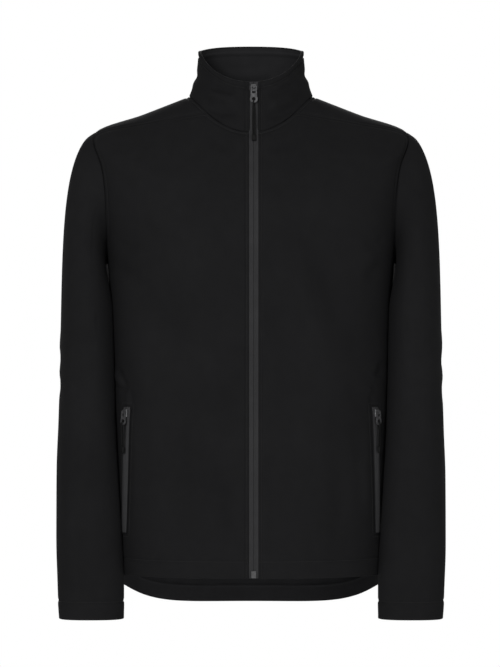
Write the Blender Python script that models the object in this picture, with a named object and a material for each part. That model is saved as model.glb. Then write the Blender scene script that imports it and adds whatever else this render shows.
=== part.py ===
"""A men's softshell jacket, filled out as if worn, with a full-length front zip and two zipped pockets.

Metres, +Z up. The front faces -Y and the wearer's left is +X. The origin is where the wearer holds the
jacket up: level with the tops of the shoulders beside the collar, midway between front and back neck.
"""
import bpy
import bmesh
import math
import numpy as np
from mathutils import Matrix, Vector

# Driving sizes
CLOTH = 0.0015            # one layer of bonded softshell
HEM_CLOTH = 0.0024        # where the hem or cuff is folded up on itself
COLLAR_CLOTH = 0.0030     # the stand collar is two layers
SEAM_GAP = 0.0003
HEM_FOLD = 0.022
CUFF_FOLD = 0.024

ZIP_X = 0.0037            # the zip stands this far to the wearer's left of the middle
ZIP_SHOWN = 0.0126        # the tape that shows between the two front edges
TAPE = 0.0010
TAPE_SUNK = 0.0004        # the tape's face below the cloth's face

# The body as rings from below the hem to the neck seam. Heights at centre front, side and centre back;
# half width, depths before and behind the side line; how square the ring is; and how its height
# leaves the side's height towards the front and back.
BODY_RINGS = (
    # below the hem
    (-0.7600, -0.7600, -0.7600, 0.1815, 0.121, 0.122, 2.15, 2.0),
    # hem
    (-0.6800, -0.6800, -0.6800, 0.1835, 0.122, 0.120, 2.15, 2.0),
    # hip
    (-0.5600, -0.5600, -0.5600, 0.1895, 0.120, 0.112, 2.20, 2.0),
    # waist
    (-0.4300, -0.4300, -0.4300, 0.1945, 0.118, 0.101, 2.30, 2.0),
    # ribs
    (-0.3200, -0.3200, -0.3200, 0.1960, 0.126, 0.112, 2.35, 2.0),
    # armpit
    (-0.2150, -0.2350, -0.1850, 0.2000, 0.132, 0.122, 2.45, 2.0),
    # middle of the armhole
    (-0.1720, -0.1500, -0.1250, 0.2105, 0.127, 0.118, 2.60, 1.9),
    # top of the armhole
    (-0.1400, -0.0870, -0.0880, 0.2175, 0.120, 0.110, 2.60, 1.8),
    # point of the shoulder
    (-0.1150, -0.0490, -0.0560, 0.2170, 0.110, 0.098, 2.55, 1.75),
    # middle of the shoulder
    (-0.0840, -0.0245, -0.0210, 0.1510, 0.098, 0.083, 2.40, 1.75),
    # neck seam
    (-0.0535, 0.0000, 0.0080, 0.0870, 0.085, 0.068, 2.20, 2.6),
)
ARMPIT_RING = 5.0
SHOULDER_RING = 8.0
NECK_RING = 10.0

COLLAR_TOP = (0.0155, 0.0660, 0.0750, 0.0740, 0.074, 0.060, 2.20, 1.5)
COLLAR_FLARE = 2.2        # how quickly the collar narrows above its seam

# The hem: level across the front, down to the side seams, and a dropped tail behind
FRONT_HEM_Z = -0.6645
SIDE_HEM_Z = -0.6800
TAIL_Z = -0.7145
HEM_TURN = 0.40           # share of the front's depth over which the hem falls to the side seam
TAIL_BEND = 2.2

# The armhole, as an angle round the body and a ring
ARMHOLE_FRONT = 27.0
ARMHOLE_BACK = 30.0
SHOULDER_SEAM_AT = 154.0  # place of the shoulder seam's end round the armhole, from the armpit

# The forward shoulder seam from the neck out: angle round the body, ring
SHOULDER_SEAM = ((42.0, 10.0), (54.0, 9.5), (65.0, 9.0), (73.0, 8.4))

# The sleeve below its cap: height, outer edge, inner edge, half depth, middle of the depth
SLEEVE = (
    (-0.300, 0.2657, 0.1915, 0.076, 0.000),
    (-0.400, 0.2675, 0.1900, 0.067, -0.007),
    (-0.500, 0.2695, 0.1865, 0.058, -0.016),
    (-0.600, 0.2697, 0.1815, 0.048, -0.026),
    (-0.680, 0.2690, 0.1802, 0.040, -0.032),
    (-0.7255, 0.2665, 0.1815, 0.036, -0.035),
)
SLEEVE_SQUARE = 2.5
SLEEVE_CLEAR = 0.003      # between the sleeve and the body it hangs against
ARMHOLE_GAP = 0.0006      # from the body's edge out to the sleeve's
UNDERARM_GAP = 0.0018     # more of it in the armpit, where the sleeve's facets lie against the body's
CAP_OUT = Vector((0.936, 0.0, -0.353))
CAP_DOWN = Vector((0.05, 0.0, -1.0))

# Rows and columns of the walls
SIDE_ROWS = 12
ARMHOLE_ROWS = 10
NECK_FRONT = 6
NECK_BACK = 20
SEAM_COLUMNS = 7
CAP_ROWS = 8
ARM_ROWS = 11
COLLAR_ROWS = 5
EVEN_ROUNDS = 200         # rounds that even out a panel's grid between its edges
DEGREES_PER_RING = 27.0   # degrees round the body that are about as long as one ring place

NORMAL_STEP = 0.02
NORMAL_TURN = 0.5

# Pocket zips: height and distance from the middle, at the top and the bottom
POCKET_TOP = (-0.4330, 0.1710)
POCKET_BOTTOM = (-0.6060, 0.1755)
POCKET_ZIP_WIDTH = 0.0120
POCKET_ROWS = 10
POCKET_HINGE_DOWN = 0.006  # from the zip's top end to the slider's hinge line

# Sliders: width, depth and height of the body, and of the bridge that holds the pull
SLIDER = (0.0080, 0.0026, 0.0110)
SLIDER_DROP = 0.0015      # the body's middle below the hinge line
BRIDGE = (0.0030, 0.0040, 0.0050)
PIVOT_OUT = 0.0022        # from the slider's face to the hinge line
EYE_RADIUS = 0.0013

# Pulls: a plate with a window round the bridge and a ring at its foot
PULL_THICK = 0.0012
PULL_WIDTH = 0.0085
PULL_LEG = 0.0017
PULL_BAR = 0.0015
RING_RADIUS = 0.0054
RING_HOLE = 0.0026
MAIN_PULL = (0.0178, 0.0098)    # hinge line to the ring's middle, and to the window's foot
POCKET_PULL = (0.0125, 0.0062)
MAIN_HINGE_Z = 0.0085

# Cord pullers: a loop through the ring, and a moulded end
CORD = 0.0018
MAIN_CORD_DOWN = 0.050
POCKET_CORD_DOWN = 0.035
CORD_END = (0.0058, 0.0036, 0.0090)
CORD_CLEAR = 0.0010       # from the cord to the cloth that it hangs over
# Half of the loop, from its end up to the ring: across, out from the ring's plane, and down from its
# middle as a share of the loop's drop plus a length
LOOP = (
    (0.0013, 0.0000, 1.00, 0.0),
    (0.0015, 0.0004, 0.85, 0.0),
    (0.0016, 0.0008, 0.60, 0.0),
    (0.0014, 0.0014, 0.32, 0.0),
    (0.0009, 0.0020, 0.00, 0.0060),
    (0.0004, 0.0021, 0.00, 0.0026),
    (0.0001, 0.0014, 0.00, 0.0004),
    (0.0000, 0.0000, 0.00, -0.0006),
)
LOOP_POINTS = 44

ZIP_BOX = (0.0070, 0.0026, 0.0100)

BLACK = (0.010, 0.010, 0.011, 1.0)
TAPE_GREY = (0.028, 0.029, 0.031, 1.0)
GUNMETAL = (0.075, 0.077, 0.080, 1.0)
CORD_BLACK = (0.008, 0.008, 0.008, 1.0)


def clear_scene():
    for obj in list(bpy.data.objects):
        bpy.data.objects.remove(obj)


def material(name, colour, roughness, metallic=0.0):
    made = bpy.data.materials.new(name)
    made.use_nodes = True
    shader = made.node_tree.nodes["Principled BSDF"]
    shader.inputs["Base Color"].default_value = colour
    shader.inputs["Roughness"].default_value = roughness
    shader.inputs["Metallic"].default_value = metallic
    return made


def smooth_between(a, b, c, d, t):
    """The Catmull-Rom value between b and c."""
    return 0.5 * (2 * b + (c - a) * t + (2 * a - 5 * b + 4 * c - d) * t * t + (3 * b - a - 3 * c + d) * t ** 3)


def smooth_table(rows, at):
    """The row of numbers at a fractional place in a table, along smooth curves."""
    last = len(rows) - 1
    low = max(0, min(last - 1, int(math.floor(at))))
    t = at - low
    b, c = rows[low], rows[low + 1]
    a = rows[low - 1] if low > 0 else [2 * p - q for p, q in zip(b, c)]
    d = rows[low + 2] if low + 2 <= last else [2 * q - p for p, q in zip(b, c)]
    return [smooth_between(*four, t) for four in zip(a, b, c, d)]


def place_in(rows, value):
    """The fractional place in a table at which its first column, falling or rising, has this value."""
    low, high = 0.0, len(rows) - 1.0
    rising = rows[-1][0] > rows[0][0]
    for _ in range(50):
        middle = (low + high) / 2
        if (smooth_table(rows, middle)[0] < value) == rising:
            low = middle
        else:
            high = middle
    return (low + high) / 2


def ring_point(ring, across, along):
    """A point of a ring from its place across (-1 to 1) and along, negative to the front."""
    z_front, z_side, z_back, half_width, front, back, _, saddle = ring
    depth, z_end = (front, z_front) if along < 0 else (back, z_back)
    z = z_side + (z_end - z_side) * abs(along) ** saddle
    return Vector((half_width * across, depth * along, z))


def ring_at_angle(ring, degrees):
    """A point of a ring by the angle from centre front, positive to the wearer's left."""
    sine, cosine = math.sin(math.radians(degrees)), math.cos(math.radians(degrees))
    reach = (abs(sine) ** ring[6] + abs(cosine) ** ring[6]) ** (-1 / ring[6])
    return ring_point(ring, reach * sine, -reach * cosine)


def ring_angle_at_x(ring, x):
    across = x / ring[3]
    along = (1 - abs(across) ** ring[6]) ** (1 / ring[6])
    return math.degrees(math.atan2(across, along))


def collar_ring(share):
    """The collar's ring at a share of its height."""
    low, high = BODY_RINGS[-1], COLLAR_TOP
    ring = [a + (b - a) * share for a, b in zip(low, high)]
    narrowed = 1 - max(0.0, 1 - share) ** COLLAR_FLARE
    ring[3] = low[3] + (high[3] - low[3]) * narrowed
    return ring


def jacket_ring(place):
    """A ring of the body up to the neck seam, and of the collar from there."""
    if place <= NECK_RING:
        return smooth_table(BODY_RINGS, place)
    return collar_ring(place - NECK_RING)


def body(degrees, place):
    return ring_at_angle(jacket_ring(place), degrees)


def body_normal(degrees, place, collar=False):
    """The outward direction of the body's face, or of the collar's, at an angle and a ring place."""
    low, high = place - NORMAL_STEP, place + NORMAL_STEP
    if collar or place > NECK_RING:
        low, high = max(low, NECK_RING + NORMAL_STEP / 10), max(high, NECK_RING + NORMAL_STEP)
    else:
        low, high = min(low, NECK_RING - NORMAL_STEP), min(high, NECK_RING)
    across = body(degrees + NORMAL_TURN, place) - body(degrees - NORMAL_TURN, place)
    up = body(degrees, high) - body(degrees, low)
    return across.cross(up).normalized()


def body_at_x(x, place):
    ring = jacket_ring(place)
    return ring_at_angle(ring, ring_angle_at_x(ring, x))


SIDE_HEIGHTS = [(ring[1],) for ring in BODY_RINGS]


def place_at_height(z):
    """The ring place whose side lies at this height."""
    return place_in(SIDE_HEIGHTS, z)


def body_half_width(y, z):
    """How far out the body's face is at a depth y and a height z."""
    ring = smooth_table(BODY_RINGS, place_at_height(z))
    along = min(1.0, abs(y) / (ring[4] if y < 0 else ring[5]))
    return ring[3] * (1 - along ** ring[6]) ** (1 / ring[6])


def front_at(x, z):
    """The place on the front's face, body or collar, at a distance from the middle and a height."""
    low, high = 0.0, NECK_RING + 1
    for _ in range(50):
        middle = (low + high) / 2
        if body_at_x(x, middle).z < z:
            low = middle
        else:
            high = middle
    return (low + high) / 2


def hem_place(degrees):
    """The ring place of the hem at an angle round the body."""
    ring = BODY_RINGS[1]
    along = ring_at_angle(ring, degrees).y
    if along < 0:
        share = min(1.0, -along / ring[4] / HEM_TURN)
        z = SIDE_HEM_Z + (FRONT_HEM_Z - SIDE_HEM_Z) * math.sin(math.pi / 2 * share) ** 1.5
    else:
        share = along / ring[5]
        z = SIDE_HEM_Z + (TAIL_Z - SIDE_HEM_Z) * math.sin(math.pi / 2 * share) ** TAIL_BEND
    return place_at_height(z)


def armhole(turn):
    """Angle and ring place on the armhole, by the turn from the armpit over the front to the shoulder."""
    sine, cosine = math.sin(math.radians(turn)), math.cos(math.radians(turn))
    reach = ARMHOLE_FRONT if sine > 0 else ARMHOLE_BACK
    middle, half = (SHOULDER_RING + ARMPIT_RING) / 2, (SHOULDER_RING - ARMPIT_RING) / 2
    return 90 - reach * sine, middle - half * cosine


def shoulder_seam(share):
    """Angle and ring place on the forward shoulder seam, from the neck to the armhole."""
    rows = SHOULDER_SEAM + (armhole(SHOULDER_SEAM_AT),)
    return smooth_table(rows, share * (len(rows) - 1))


def steps(count, low=0.0, high=1.0):
    return [low + (high - low) * i / count for i in range(count + 1)]


def zip_edge(side):
    """How far from the middle the front's edge beside the zip is, on one side."""
    return ZIP_X + side * ZIP_SHOWN / 2


def neck_angles(side):
    """Angles of the neck seam's points on one front, from the zip to the shoulder seam."""
    start = ring_angle_at_x(BODY_RINGS[-1], zip_edge(side))
    return steps(NECK_FRONT, start, side * SHOULDER_SEAM[0][0])


def neck_back_angles():
    return steps(NECK_BACK, SHOULDER_SEAM[0][0], 360 - SHOULDER_SEAM[0][0])


def side_edge(back):
    """Side seam, then the armhole up to the shoulder seam's end, for the wearer's left."""
    hem = hem_place(90)
    edge = [(90.0, place) for place in steps(SIDE_ROWS, hem, ARMPIT_RING)]
    first = 360.0 if back else 0.0
    turns = steps(ARMHOLE_ROWS, first, SHOULDER_SEAM_AT)
    return edge + [armhole(turn) for turn in turns[1:]]


def patch(bottom, top, left, right):
    """A grid of (angle, place) pairs that fills four edges, all given from bottom left.

    It starts as the patch ruled between the edges. Elliptic smoothing then spaces its lines evenly, so
    that no line crosses another where an edge, such as the armhole, bends into the panel.
    """
    scale = np.array([1 / DEGREES_PER_RING, 1.0])
    bottom, top, left, right = (np.array(edge) * scale for edge in (bottom, top, left, right))
    r = np.linspace(0, 1, len(left))[:, None, None]
    c = np.linspace(0, 1, len(bottom))[None, :, None]
    grid = ((1 - r) * bottom[None] + r * top[None] + (1 - c) * left[:, None] + c * right[:, None]
            - (1 - c) * (1 - r) * bottom[0] - c * (1 - r) * bottom[-1]
            - (1 - c) * r * top[0] - c * r * top[-1])
    for _ in range(EVEN_ROUNDS):
        up, down, after, before = grid[2:, 1:-1], grid[:-2, 1:-1], grid[1:-1, 2:], grid[1:-1, :-2]
        along_rows, along_columns = (after - before) / 2, (up - down) / 2
        row_weight = (along_columns ** 2).sum(axis=2, keepdims=True)
        column_weight = (along_rows ** 2).sum(axis=2, keepdims=True)
        slant = (along_rows * along_columns).sum(axis=2, keepdims=True)
        corners = grid[2:, 2:] - grid[2:, :-2] - grid[:-2, 2:] + grid[:-2, :-2]
        even = row_weight * (after + before) + column_weight * (up + down) - slant * corners / 2
        grid[1:-1, 1:-1] = even / (2 * (row_weight + column_weight))
    return [[tuple(pair) for pair in row] for row in (grid / scale).tolist()]


def on_body(grid, collar=False):
    """Points and outward directions of the body's face for a grid of (angle, place) pairs."""
    points = [[body(*pair) for pair in row] for row in grid]
    normals = [[body_normal(*pair, collar) for pair in row] for row in grid]
    return points, normals


def draw_in(grid, amount, edges=("first_row", "last_row", "first_column", "last_column")):
    """Draws a grid's edges in towards their neighbours, which leaves the gap at a seam."""
    pulled = [[p.copy() for p in row] for row in grid]
    rows, columns = len(grid), len(grid[0])
    sides = {
        "first_row": [((0, j), (1, j)) for j in range(columns)],
        "last_row": [((rows - 1, j), (rows - 2, j)) for j in range(columns)],
        "first_column": [((i, 0), (i, 1)) for i in range(rows)],
        "last_column": [((i, columns - 1), (i, columns - 2)) for i in range(rows)],
    }
    for edge in edges:
        for (i, j), (m, n) in sides[edge]:
            pulled[i][j] += (grid[m][n] - grid[i][j]).normalized() * amount
    return pulled


def tube_normals(grid):
    """Outward directions of a grid of closed rings."""
    normals = []
    for i, row in enumerate(grid):
        middle = sum(row, Vector()) / len(row)
        directions = []
        for j, point in enumerate(row):
            up = grid[min(i + 1, len(grid) - 1)][j] - grid[max(i - 1, 0)][j]
            across = row[(j + 1) % len(row)] - row[j - 1]
            normal = across.cross(up).normalized()
            directions.append(normal if normal.dot(point - middle) > 0 else -normal)
        normals.append(directions)
    return normals


def object_of(name, mesh, finish):
    mesh.materials.append(finish)
    obj = bpy.data.objects.new(name, mesh)
    bpy.context.scene.collection.objects.link(obj)
    return obj


def wall(name, grid, normals, thickness, finish, ring=False, raised=0.0):
    """A closed solid between a grid's face and the same face moved in by its thickness."""
    rows, columns = len(grid), len(grid[0])
    shape = bmesh.new()
    layers = []
    for depth in (0, 1):
        layer = []
        for i in range(rows):
            thick = thickness[i] if isinstance(thickness, list) else thickness
            moved = [grid[i][j] + normals[i][j] * (raised - depth * thick) for j in range(columns)]
            layer.append([shape.verts.new(p) for p in moved])
        layers.append(layer)
    outer, inner = layers
    cells = columns if ring else columns - 1
    for i in range(rows - 1):
        for j in range(cells):
            k = (j + 1) % columns
            falling = (grid[i][k] - grid[i + 1][j]).length < (grid[i][j] - grid[i + 1][k]).length
            for layer in layers:
                a, b, c, d = layer[i][j], layer[i][k], layer[i + 1][k], layer[i + 1][j]
                halves = ((a, b, d), (b, c, d)) if falling else ((a, b, c), (a, c, d))
                for half in halves:
                    shape.faces.new(half)
    for j in range(cells):
        k = (j + 1) % columns
        for i in (0, rows - 1):
            shape.faces.new((outer[i][j], outer[i][k], inner[i][k], inner[i][j]))
    if not ring:
        for i in range(rows - 1):
            for j in (0, columns - 1):
                shape.faces.new((outer[i][j], outer[i + 1][j], inner[i + 1][j], inner[i][j]))
    bmesh.ops.recalc_face_normals(shape, faces=shape.faces)
    mesh = bpy.data.meshes.new(name)
    shape.to_mesh(mesh)
    shape.free()
    mesh.shade_smooth()
    mesh.set_sharp_from_angle(angle=math.radians(50))
    return object_of(name, mesh, finish)


def folded(rows, count, fold):
    """Thickness row by row: the first rows, where the hem is folded, are thicker."""
    return [fold if i < count else CLOTH for i in range(rows)]


def hem_fold_row(grid, height):
    """Moves a grid's second row to the top of the hem's fold."""
    for j, low in enumerate(grid[0]):
        grid[1][j] = low + (grid[2][j] - low).normalized() * height


def front_grid(side):
    bottom_angles = steps(NECK_FRONT + SEAM_COLUMNS, ring_angle_at_x(BODY_RINGS[1], zip_edge(side)), side * 90)
    bottom = [(a, hem_place(a)) for a in bottom_angles]
    top = [(a, NECK_RING) for a in neck_angles(side)]
    for share in steps(SEAM_COLUMNS)[1:]:
        angle, place = shoulder_seam(share)
        top.append((side * angle, place))
    rows = SIDE_ROWS + ARMHOLE_ROWS
    left = []
    for place in steps(rows, bottom[0][1], NECK_RING):
        left.append((ring_angle_at_x(jacket_ring(place), zip_edge(side)), place))
    right = [(side * angle, place) for angle, place in side_edge(back=False)]
    return on_body(patch(bottom, top, left, right))


def back_grid():
    """Rows from the dropped hem to the neck; each starts and ends on a side seam, armhole or shoulder."""
    bottom = [(a, hem_place(a)) for a in steps(NECK_BACK, 90, 270)]
    top = [(a, NECK_RING) for a in neck_back_angles()]
    seam = [shoulder_seam(share) for share in steps(SEAM_COLUMNS)]
    left = side_edge(back=True) + seam[-2::-1]
    right = [(360 - angle, place) for angle, place in left]
    return on_body(patch(bottom, top, left, right))


def sleeve_row(z, turns):
    """Points of the wearer's left sleeve at one height below its cap."""
    table = [(-row[0],) + row[1:] for row in SLEEVE]
    _, outer, inner, half_depth, middle = smooth_table(table, place_in(table, -z))
    x_middle = (outer + inner) / 2
    points = []
    for turn in turns:
        cosine, sine = -math.cos(math.radians(turn)), -math.sin(math.radians(turn))
        reach = (abs(cosine) ** SLEEVE_SQUARE + abs(sine) ** SLEEVE_SQUARE) ** (-1 / SLEEVE_SQUARE)
        y = middle + half_depth * reach * sine
        half = (outer - x_middle) if cosine > 0 else (x_middle - inner) * 1.12
        x = x_middle + half * reach * cosine
        if cosine < 0.3:
            limit = body_half_width(y, z) + SLEEVE_CLEAR
            x = 0.5 * (x + limit + math.sqrt((x - limit) ** 2 + 0.003 ** 2))
        points.append(Vector((x, y, z)))
    return points


def cap_curve(start, end, end_way, turn, share):
    """A point of the sleeve's cap, on a curve from the armhole down to the first level row."""
    sine, cosine = math.sin(math.radians(turn)), math.cos(math.radians(turn))
    top = (1 - cosine) / 2
    way = CAP_OUT * top + CAP_DOWN * (1 - top)
    way += Vector((0.25, -0.12 * (1 if sine > 0 else -1), -0.10)) * abs(sine)
    way.normalize()
    chord = (end - start).length
    first = start + way * chord * (0.26 - 0.08 * top)
    second = end - end_way * chord * (0.36 + 0.07 * top)
    t = share
    return (start * (1 - t) ** 3 + first * 3 * t * (1 - t) ** 2
            + second * 3 * t * t * (1 - t) + end * t ** 3)


def sleeve_turns():
    front = steps(ARMHOLE_ROWS, 0.0, SHOULDER_SEAM_AT)
    back = steps(ARMHOLE_ROWS, 360.0, SHOULDER_SEAM_AT)
    return front + list(reversed(back))[1:-1]


def sleeve_grid(side):
    """Rows from the cuff up to the armhole, each a closed ring."""
    turns = sleeve_turns()
    cuff, top = SLEEVE[-1][0], SLEEVE[0][0]
    heights = [cuff, cuff + CUFF_FOLD] + steps(ARM_ROWS - 2, cuff + CUFF_FOLD, top)[1:]
    grid = [sleeve_row(z, turns) for z in heights]
    first, next_down = grid[-1], sleeve_row(top - 0.03, turns)
    starts = []
    for turn in turns:
        under = max(0.0, math.cos(math.radians(turn)))
        starts.append(body(*armhole(turn)) + Vector((ARMHOLE_GAP + UNDERARM_GAP * under ** 2, 0, 0)))
    for share in reversed(steps(CAP_ROWS)[:-1]):
        row = []
        for turn, start, end, lower in zip(turns, starts, first, next_down):
            row.append(cap_curve(start, end, (lower - end).normalized(), turn, share))
        grid.append(row)
    return [[Vector((side * p.x, p.y, p.z)) for p in row] for row in grid]


def collar_grid():
    """Rows up from the neck seam, from the left front's edge round the back to the right front's."""
    around = neck_angles(1) + neck_back_angles()[1:-1] + [360 + a for a in reversed(neck_angles(-1))]
    grid = []
    for place in steps(COLLAR_ROWS, NECK_RING, NECK_RING + 1):
        ring = jacket_ring(place)
        angles = list(around)
        angles[0] = ring_angle_at_x(ring, zip_edge(1))
        angles[-1] = ring_angle_at_x(ring, zip_edge(-1))
        grid.append([(angle, place) for angle in angles])
    return on_body(grid, collar=True)


def make_panels(cloth):
    for side, name in ((-1, "front_right"), (1, "front_left")):
        grid, normals = front_grid(side)
        grid = draw_in(grid, SEAM_GAP * 0.7, ("last_row", "last_column"))
        hem_fold_row(grid, HEM_FOLD)
        wall(name, grid, normals, folded(len(grid), 2, HEM_CLOTH), cloth)
    grid, normals = back_grid()
    grid = draw_in(grid, SEAM_GAP * 0.7, ("last_row", "first_column", "last_column"))
    hem_fold_row(grid, HEM_FOLD)
    wall("back", grid, normals, folded(len(grid), 2, HEM_CLOTH), cloth)


def make_sleeves(cloth):
    for side, name in ((-1, "sleeve_right"), (1, "sleeve_left")):
        grid = sleeve_grid(side)
        wall(name, grid, tube_normals(grid), folded(len(grid), 2, HEM_CLOTH), cloth, ring=True)


def make_collar(cloth):
    grid, normals = collar_grid()
    grid[0] = [p + Vector((0, 0, 2 * SEAM_GAP)) for p in grid[0]]
    thickness = [CLOTH] + [COLLAR_CLOTH] * COLLAR_ROWS
    wall("collar", grid, normals, thickness, cloth)


def tape_grid(side):
    """Half of the main zip's tape, from the hem to the collar's top."""
    rows = SIDE_ROWS + ARMHOLE_ROWS
    places = steps(rows, hem_place(0.0), NECK_RING) + steps(COLLAR_ROWS, NECK_RING, NECK_RING + 1)[1:]
    near = ZIP_X + side * SEAM_GAP / 2
    far = ZIP_X + side * (ZIP_SHOWN / 2 - SEAM_GAP)
    pairs = []
    for place in places:
        ring = jacket_ring(place)
        pairs.append([(ring_angle_at_x(ring, x), place) for x in (near, far)])
    points, normals = on_body(pairs)
    return points, normals


def make_zip_tapes(finish):
    for side, name in ((-1, "zip_tape_right"), (1, "zip_tape_left")):
        grid, normals = tape_grid(side)
        wall(name, grid, normals, TAPE, finish, raised=-TAPE_SUNK)


def pocket_line(share):
    """Angle and ring place down the middle of the left pocket's zip."""
    z, x = (a + (b - a) * share for a, b in zip(POCKET_TOP, POCKET_BOTTOM))
    place = place_at_height(z)
    return ring_angle_at_x(jacket_ring(place), x), place


def make_pocket_zip(side, name, finish):
    """The pocket zip's tape, made from the front's points and moved out."""
    pairs = []
    for share in steps(POCKET_ROWS):
        angle, place = pocket_line(share)
        one_degree = (body(angle + 0.5, place) - body(angle - 0.5, place)).length
        half = POCKET_ZIP_WIDTH / 2 / one_degree
        pairs.append([(side * (angle + turn), place) for turn in (-half, 0.0, half)])
    grid, normals = on_body(pairs)
    wall(name, grid, normals, TAPE, finish, raised=SEAM_GAP + TAPE)


def hardware_frame(origin, out, up):
    """Axes for a slider: X across, -Y out from the cloth, Z up along the zip."""
    y = -out.normalized()
    z = (up - y * up.dot(y)).normalized()
    x = y.cross(z)
    frame = Matrix((x, y, z)).transposed().to_4x4()
    frame.translation = origin
    return frame


def box(name, size, middle, finish=None, bevel=0.0):
    """A box by its size and middle, with its edges rounded by a bevel."""
    shape = bmesh.new()
    bmesh.ops.create_cube(shape, size=1.0)
    bmesh.ops.scale(shape, verts=shape.verts, vec=size)
    bmesh.ops.translate(shape, verts=shape.verts, vec=middle)
    if bevel:
        bmesh.ops.bevel(shape, geom=shape.edges, offset=bevel, segments=1, affect="EDGES")
    return finished(name, shape, finish)


def rod(name, radius, length, middle, turn, finish=None, sides=16):
    """A round bar by its radius, length and middle, turned from standing up."""
    shape = bmesh.new()
    bmesh.ops.create_cone(shape, cap_ends=True, segments=sides, radius1=radius, radius2=radius, depth=length)
    bmesh.ops.transform(shape, verts=shape.verts, matrix=Matrix.Translation(middle) @ turn)
    return finished(name, shape, finish)


def finished(name, shape, finish):
    mesh = bpy.data.meshes.new(name)
    shape.to_mesh(mesh)
    shape.free()
    if finish:
        return object_of(name, mesh, finish)
    guide = bpy.data.objects.new(name, mesh)
    bpy.context.scene.collection.objects.link(guide)
    guide.hide_render = True
    guide.display_type = "WIRE"
    return guide


def boolean(obj, other, operation):
    """Joins a guide to an object, or cuts it away, and keeps the guide with the object."""
    other.parent = obj
    change = obj.modifiers.new(other.name, "BOOLEAN")
    change.operation = operation
    change.object = other


ALONG_X = Matrix.Rotation(math.pi / 2, 4, "Y")
ALONG_Y = Matrix.Rotation(math.pi / 2, 4, "X")


def make_slider(name, frame, metal):
    """A slider body on the tape, with a bridge that holds the pull's bar."""
    face = -SEAM_GAP - SLIDER[1]
    obj = box(name, SLIDER, (0, face + SLIDER[1] / 2, -SLIDER_DROP), metal, bevel=0.0006)
    reach = BRIDGE[1] + 0.0005
    bridge = box(name + "_bridge", (BRIDGE[0], reach, BRIDGE[2]), (0, face - BRIDGE[1] + reach / 2, 0))
    boolean(obj, bridge, "UNION")
    eye = rod(name + "_eye", EYE_RADIUS, 2 * BRIDGE[0], (0, face - PIVOT_OUT, 0), ALONG_X)
    boolean(obj, eye, "DIFFERENCE")
    obj.matrix_world = frame
    return face - PIVOT_OUT


def make_pull(name, frame, sizes, metal):
    """A pull, hanging from its hinge line at its own origin."""
    ring_down, window_down = sizes
    top = PULL_BAR / 2
    plate_height = ring_down + top
    obj = box(name, (PULL_WIDTH, PULL_THICK, plate_height), (0, 0, top - plate_height / 2), metal)
    ring_middle = (0, 0, -ring_down)
    boolean(obj, rod(name + "_ring", RING_RADIUS, PULL_THICK, ring_middle, ALONG_Y, sides=24), "UNION")
    window = (PULL_WIDTH - 2 * PULL_LEG, 2 * PULL_THICK, window_down - top)
    boolean(obj, box(name + "_window", window, (0, 0, -(window_down + top) / 2)), "DIFFERENCE")
    boolean(obj, rod(name + "_hole", RING_HOLE, 2 * PULL_THICK, ring_middle, ALONG_Y), "DIFFERENCE")
    obj.matrix_world = frame


def loop_route(drop):
    """The cord loop's route points: up one side, through the ring, and down the other side behind it."""
    front = [Vector((-across, -out, -(share * drop + down))) for across, out, share, down in LOOP]
    behind = [Vector((across, out, -(share * drop + down))) for across, out, share, down in LOOP]
    return front + behind[-2::-1]


def clear_of_front(p):
    """A cord's point, moved forward where the cloth of the front would touch it."""
    cloth = body_at_x(p.x, front_at(p.x, p.z)).y
    return Vector((p.x, min(p.y, cloth - CORD_END[1] / 2 - CORD_CLEAR), p.z))


def make_cord(name, frame, drop, finish, over_front):
    """A cord loop as a tube through its route, and the direction and place of its two ends."""
    route = [frame @ p for p in loop_route(drop)]
    if over_front:
        route = [clear_of_front(p) for p in route]
    rows = [tuple(p) for p in route]
    curve = bpy.data.curves.new(name, "CURVE")
    curve.dimensions = "3D"
    curve.bevel_depth = CORD / 2
    curve.bevel_resolution = 2
    curve.use_fill_caps = True
    spline = curve.splines.new("POLY")
    spline.points.add(LOOP_POINTS)
    for point, share in zip(spline.points, steps(LOOP_POINTS)):
        point.co = (*smooth_table(rows, share * (len(rows) - 1)), 1.0)
    object_of(name, curve, finish)
    foot = (route[0] + route[-1]) / 2
    up = ((route[1] + route[-2]) / 2 - foot).normalized()
    if over_front:
        up = foot - clear_of_front(foot - up * CORD_END[2])
    return foot, up.normalized()


def make_cord_end(name, frame, foot, up, finish):
    """The moulded end that holds both ends of a cord loop."""
    obj = box(name, CORD_END, (0, 0, -CORD_END[2] / 2 - SEAM_GAP), finish, bevel=0.0009)
    across = frame.to_3x3().col[0]
    obj.matrix_world = hardware_frame(foot, across.cross(up), up)


def make_zip_pull(prefix, frame, sizes, drop, metal, cord, over_front=False):
    """Slider, pull, cord loop and its moulded end, on the tape's face."""
    pivot = make_slider(prefix + "_slider", frame, metal)
    hinge = frame @ Matrix.Translation((0, pivot, 0))
    make_pull(prefix + "_pull", hinge, sizes, metal)
    ring = hinge @ Matrix.Translation((0, 0, -sizes[0]))
    foot, up = make_cord(prefix + "_cord", ring, drop, cord, over_front)
    make_cord_end(prefix + "_cord_end", ring, foot, up, cord)


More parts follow.
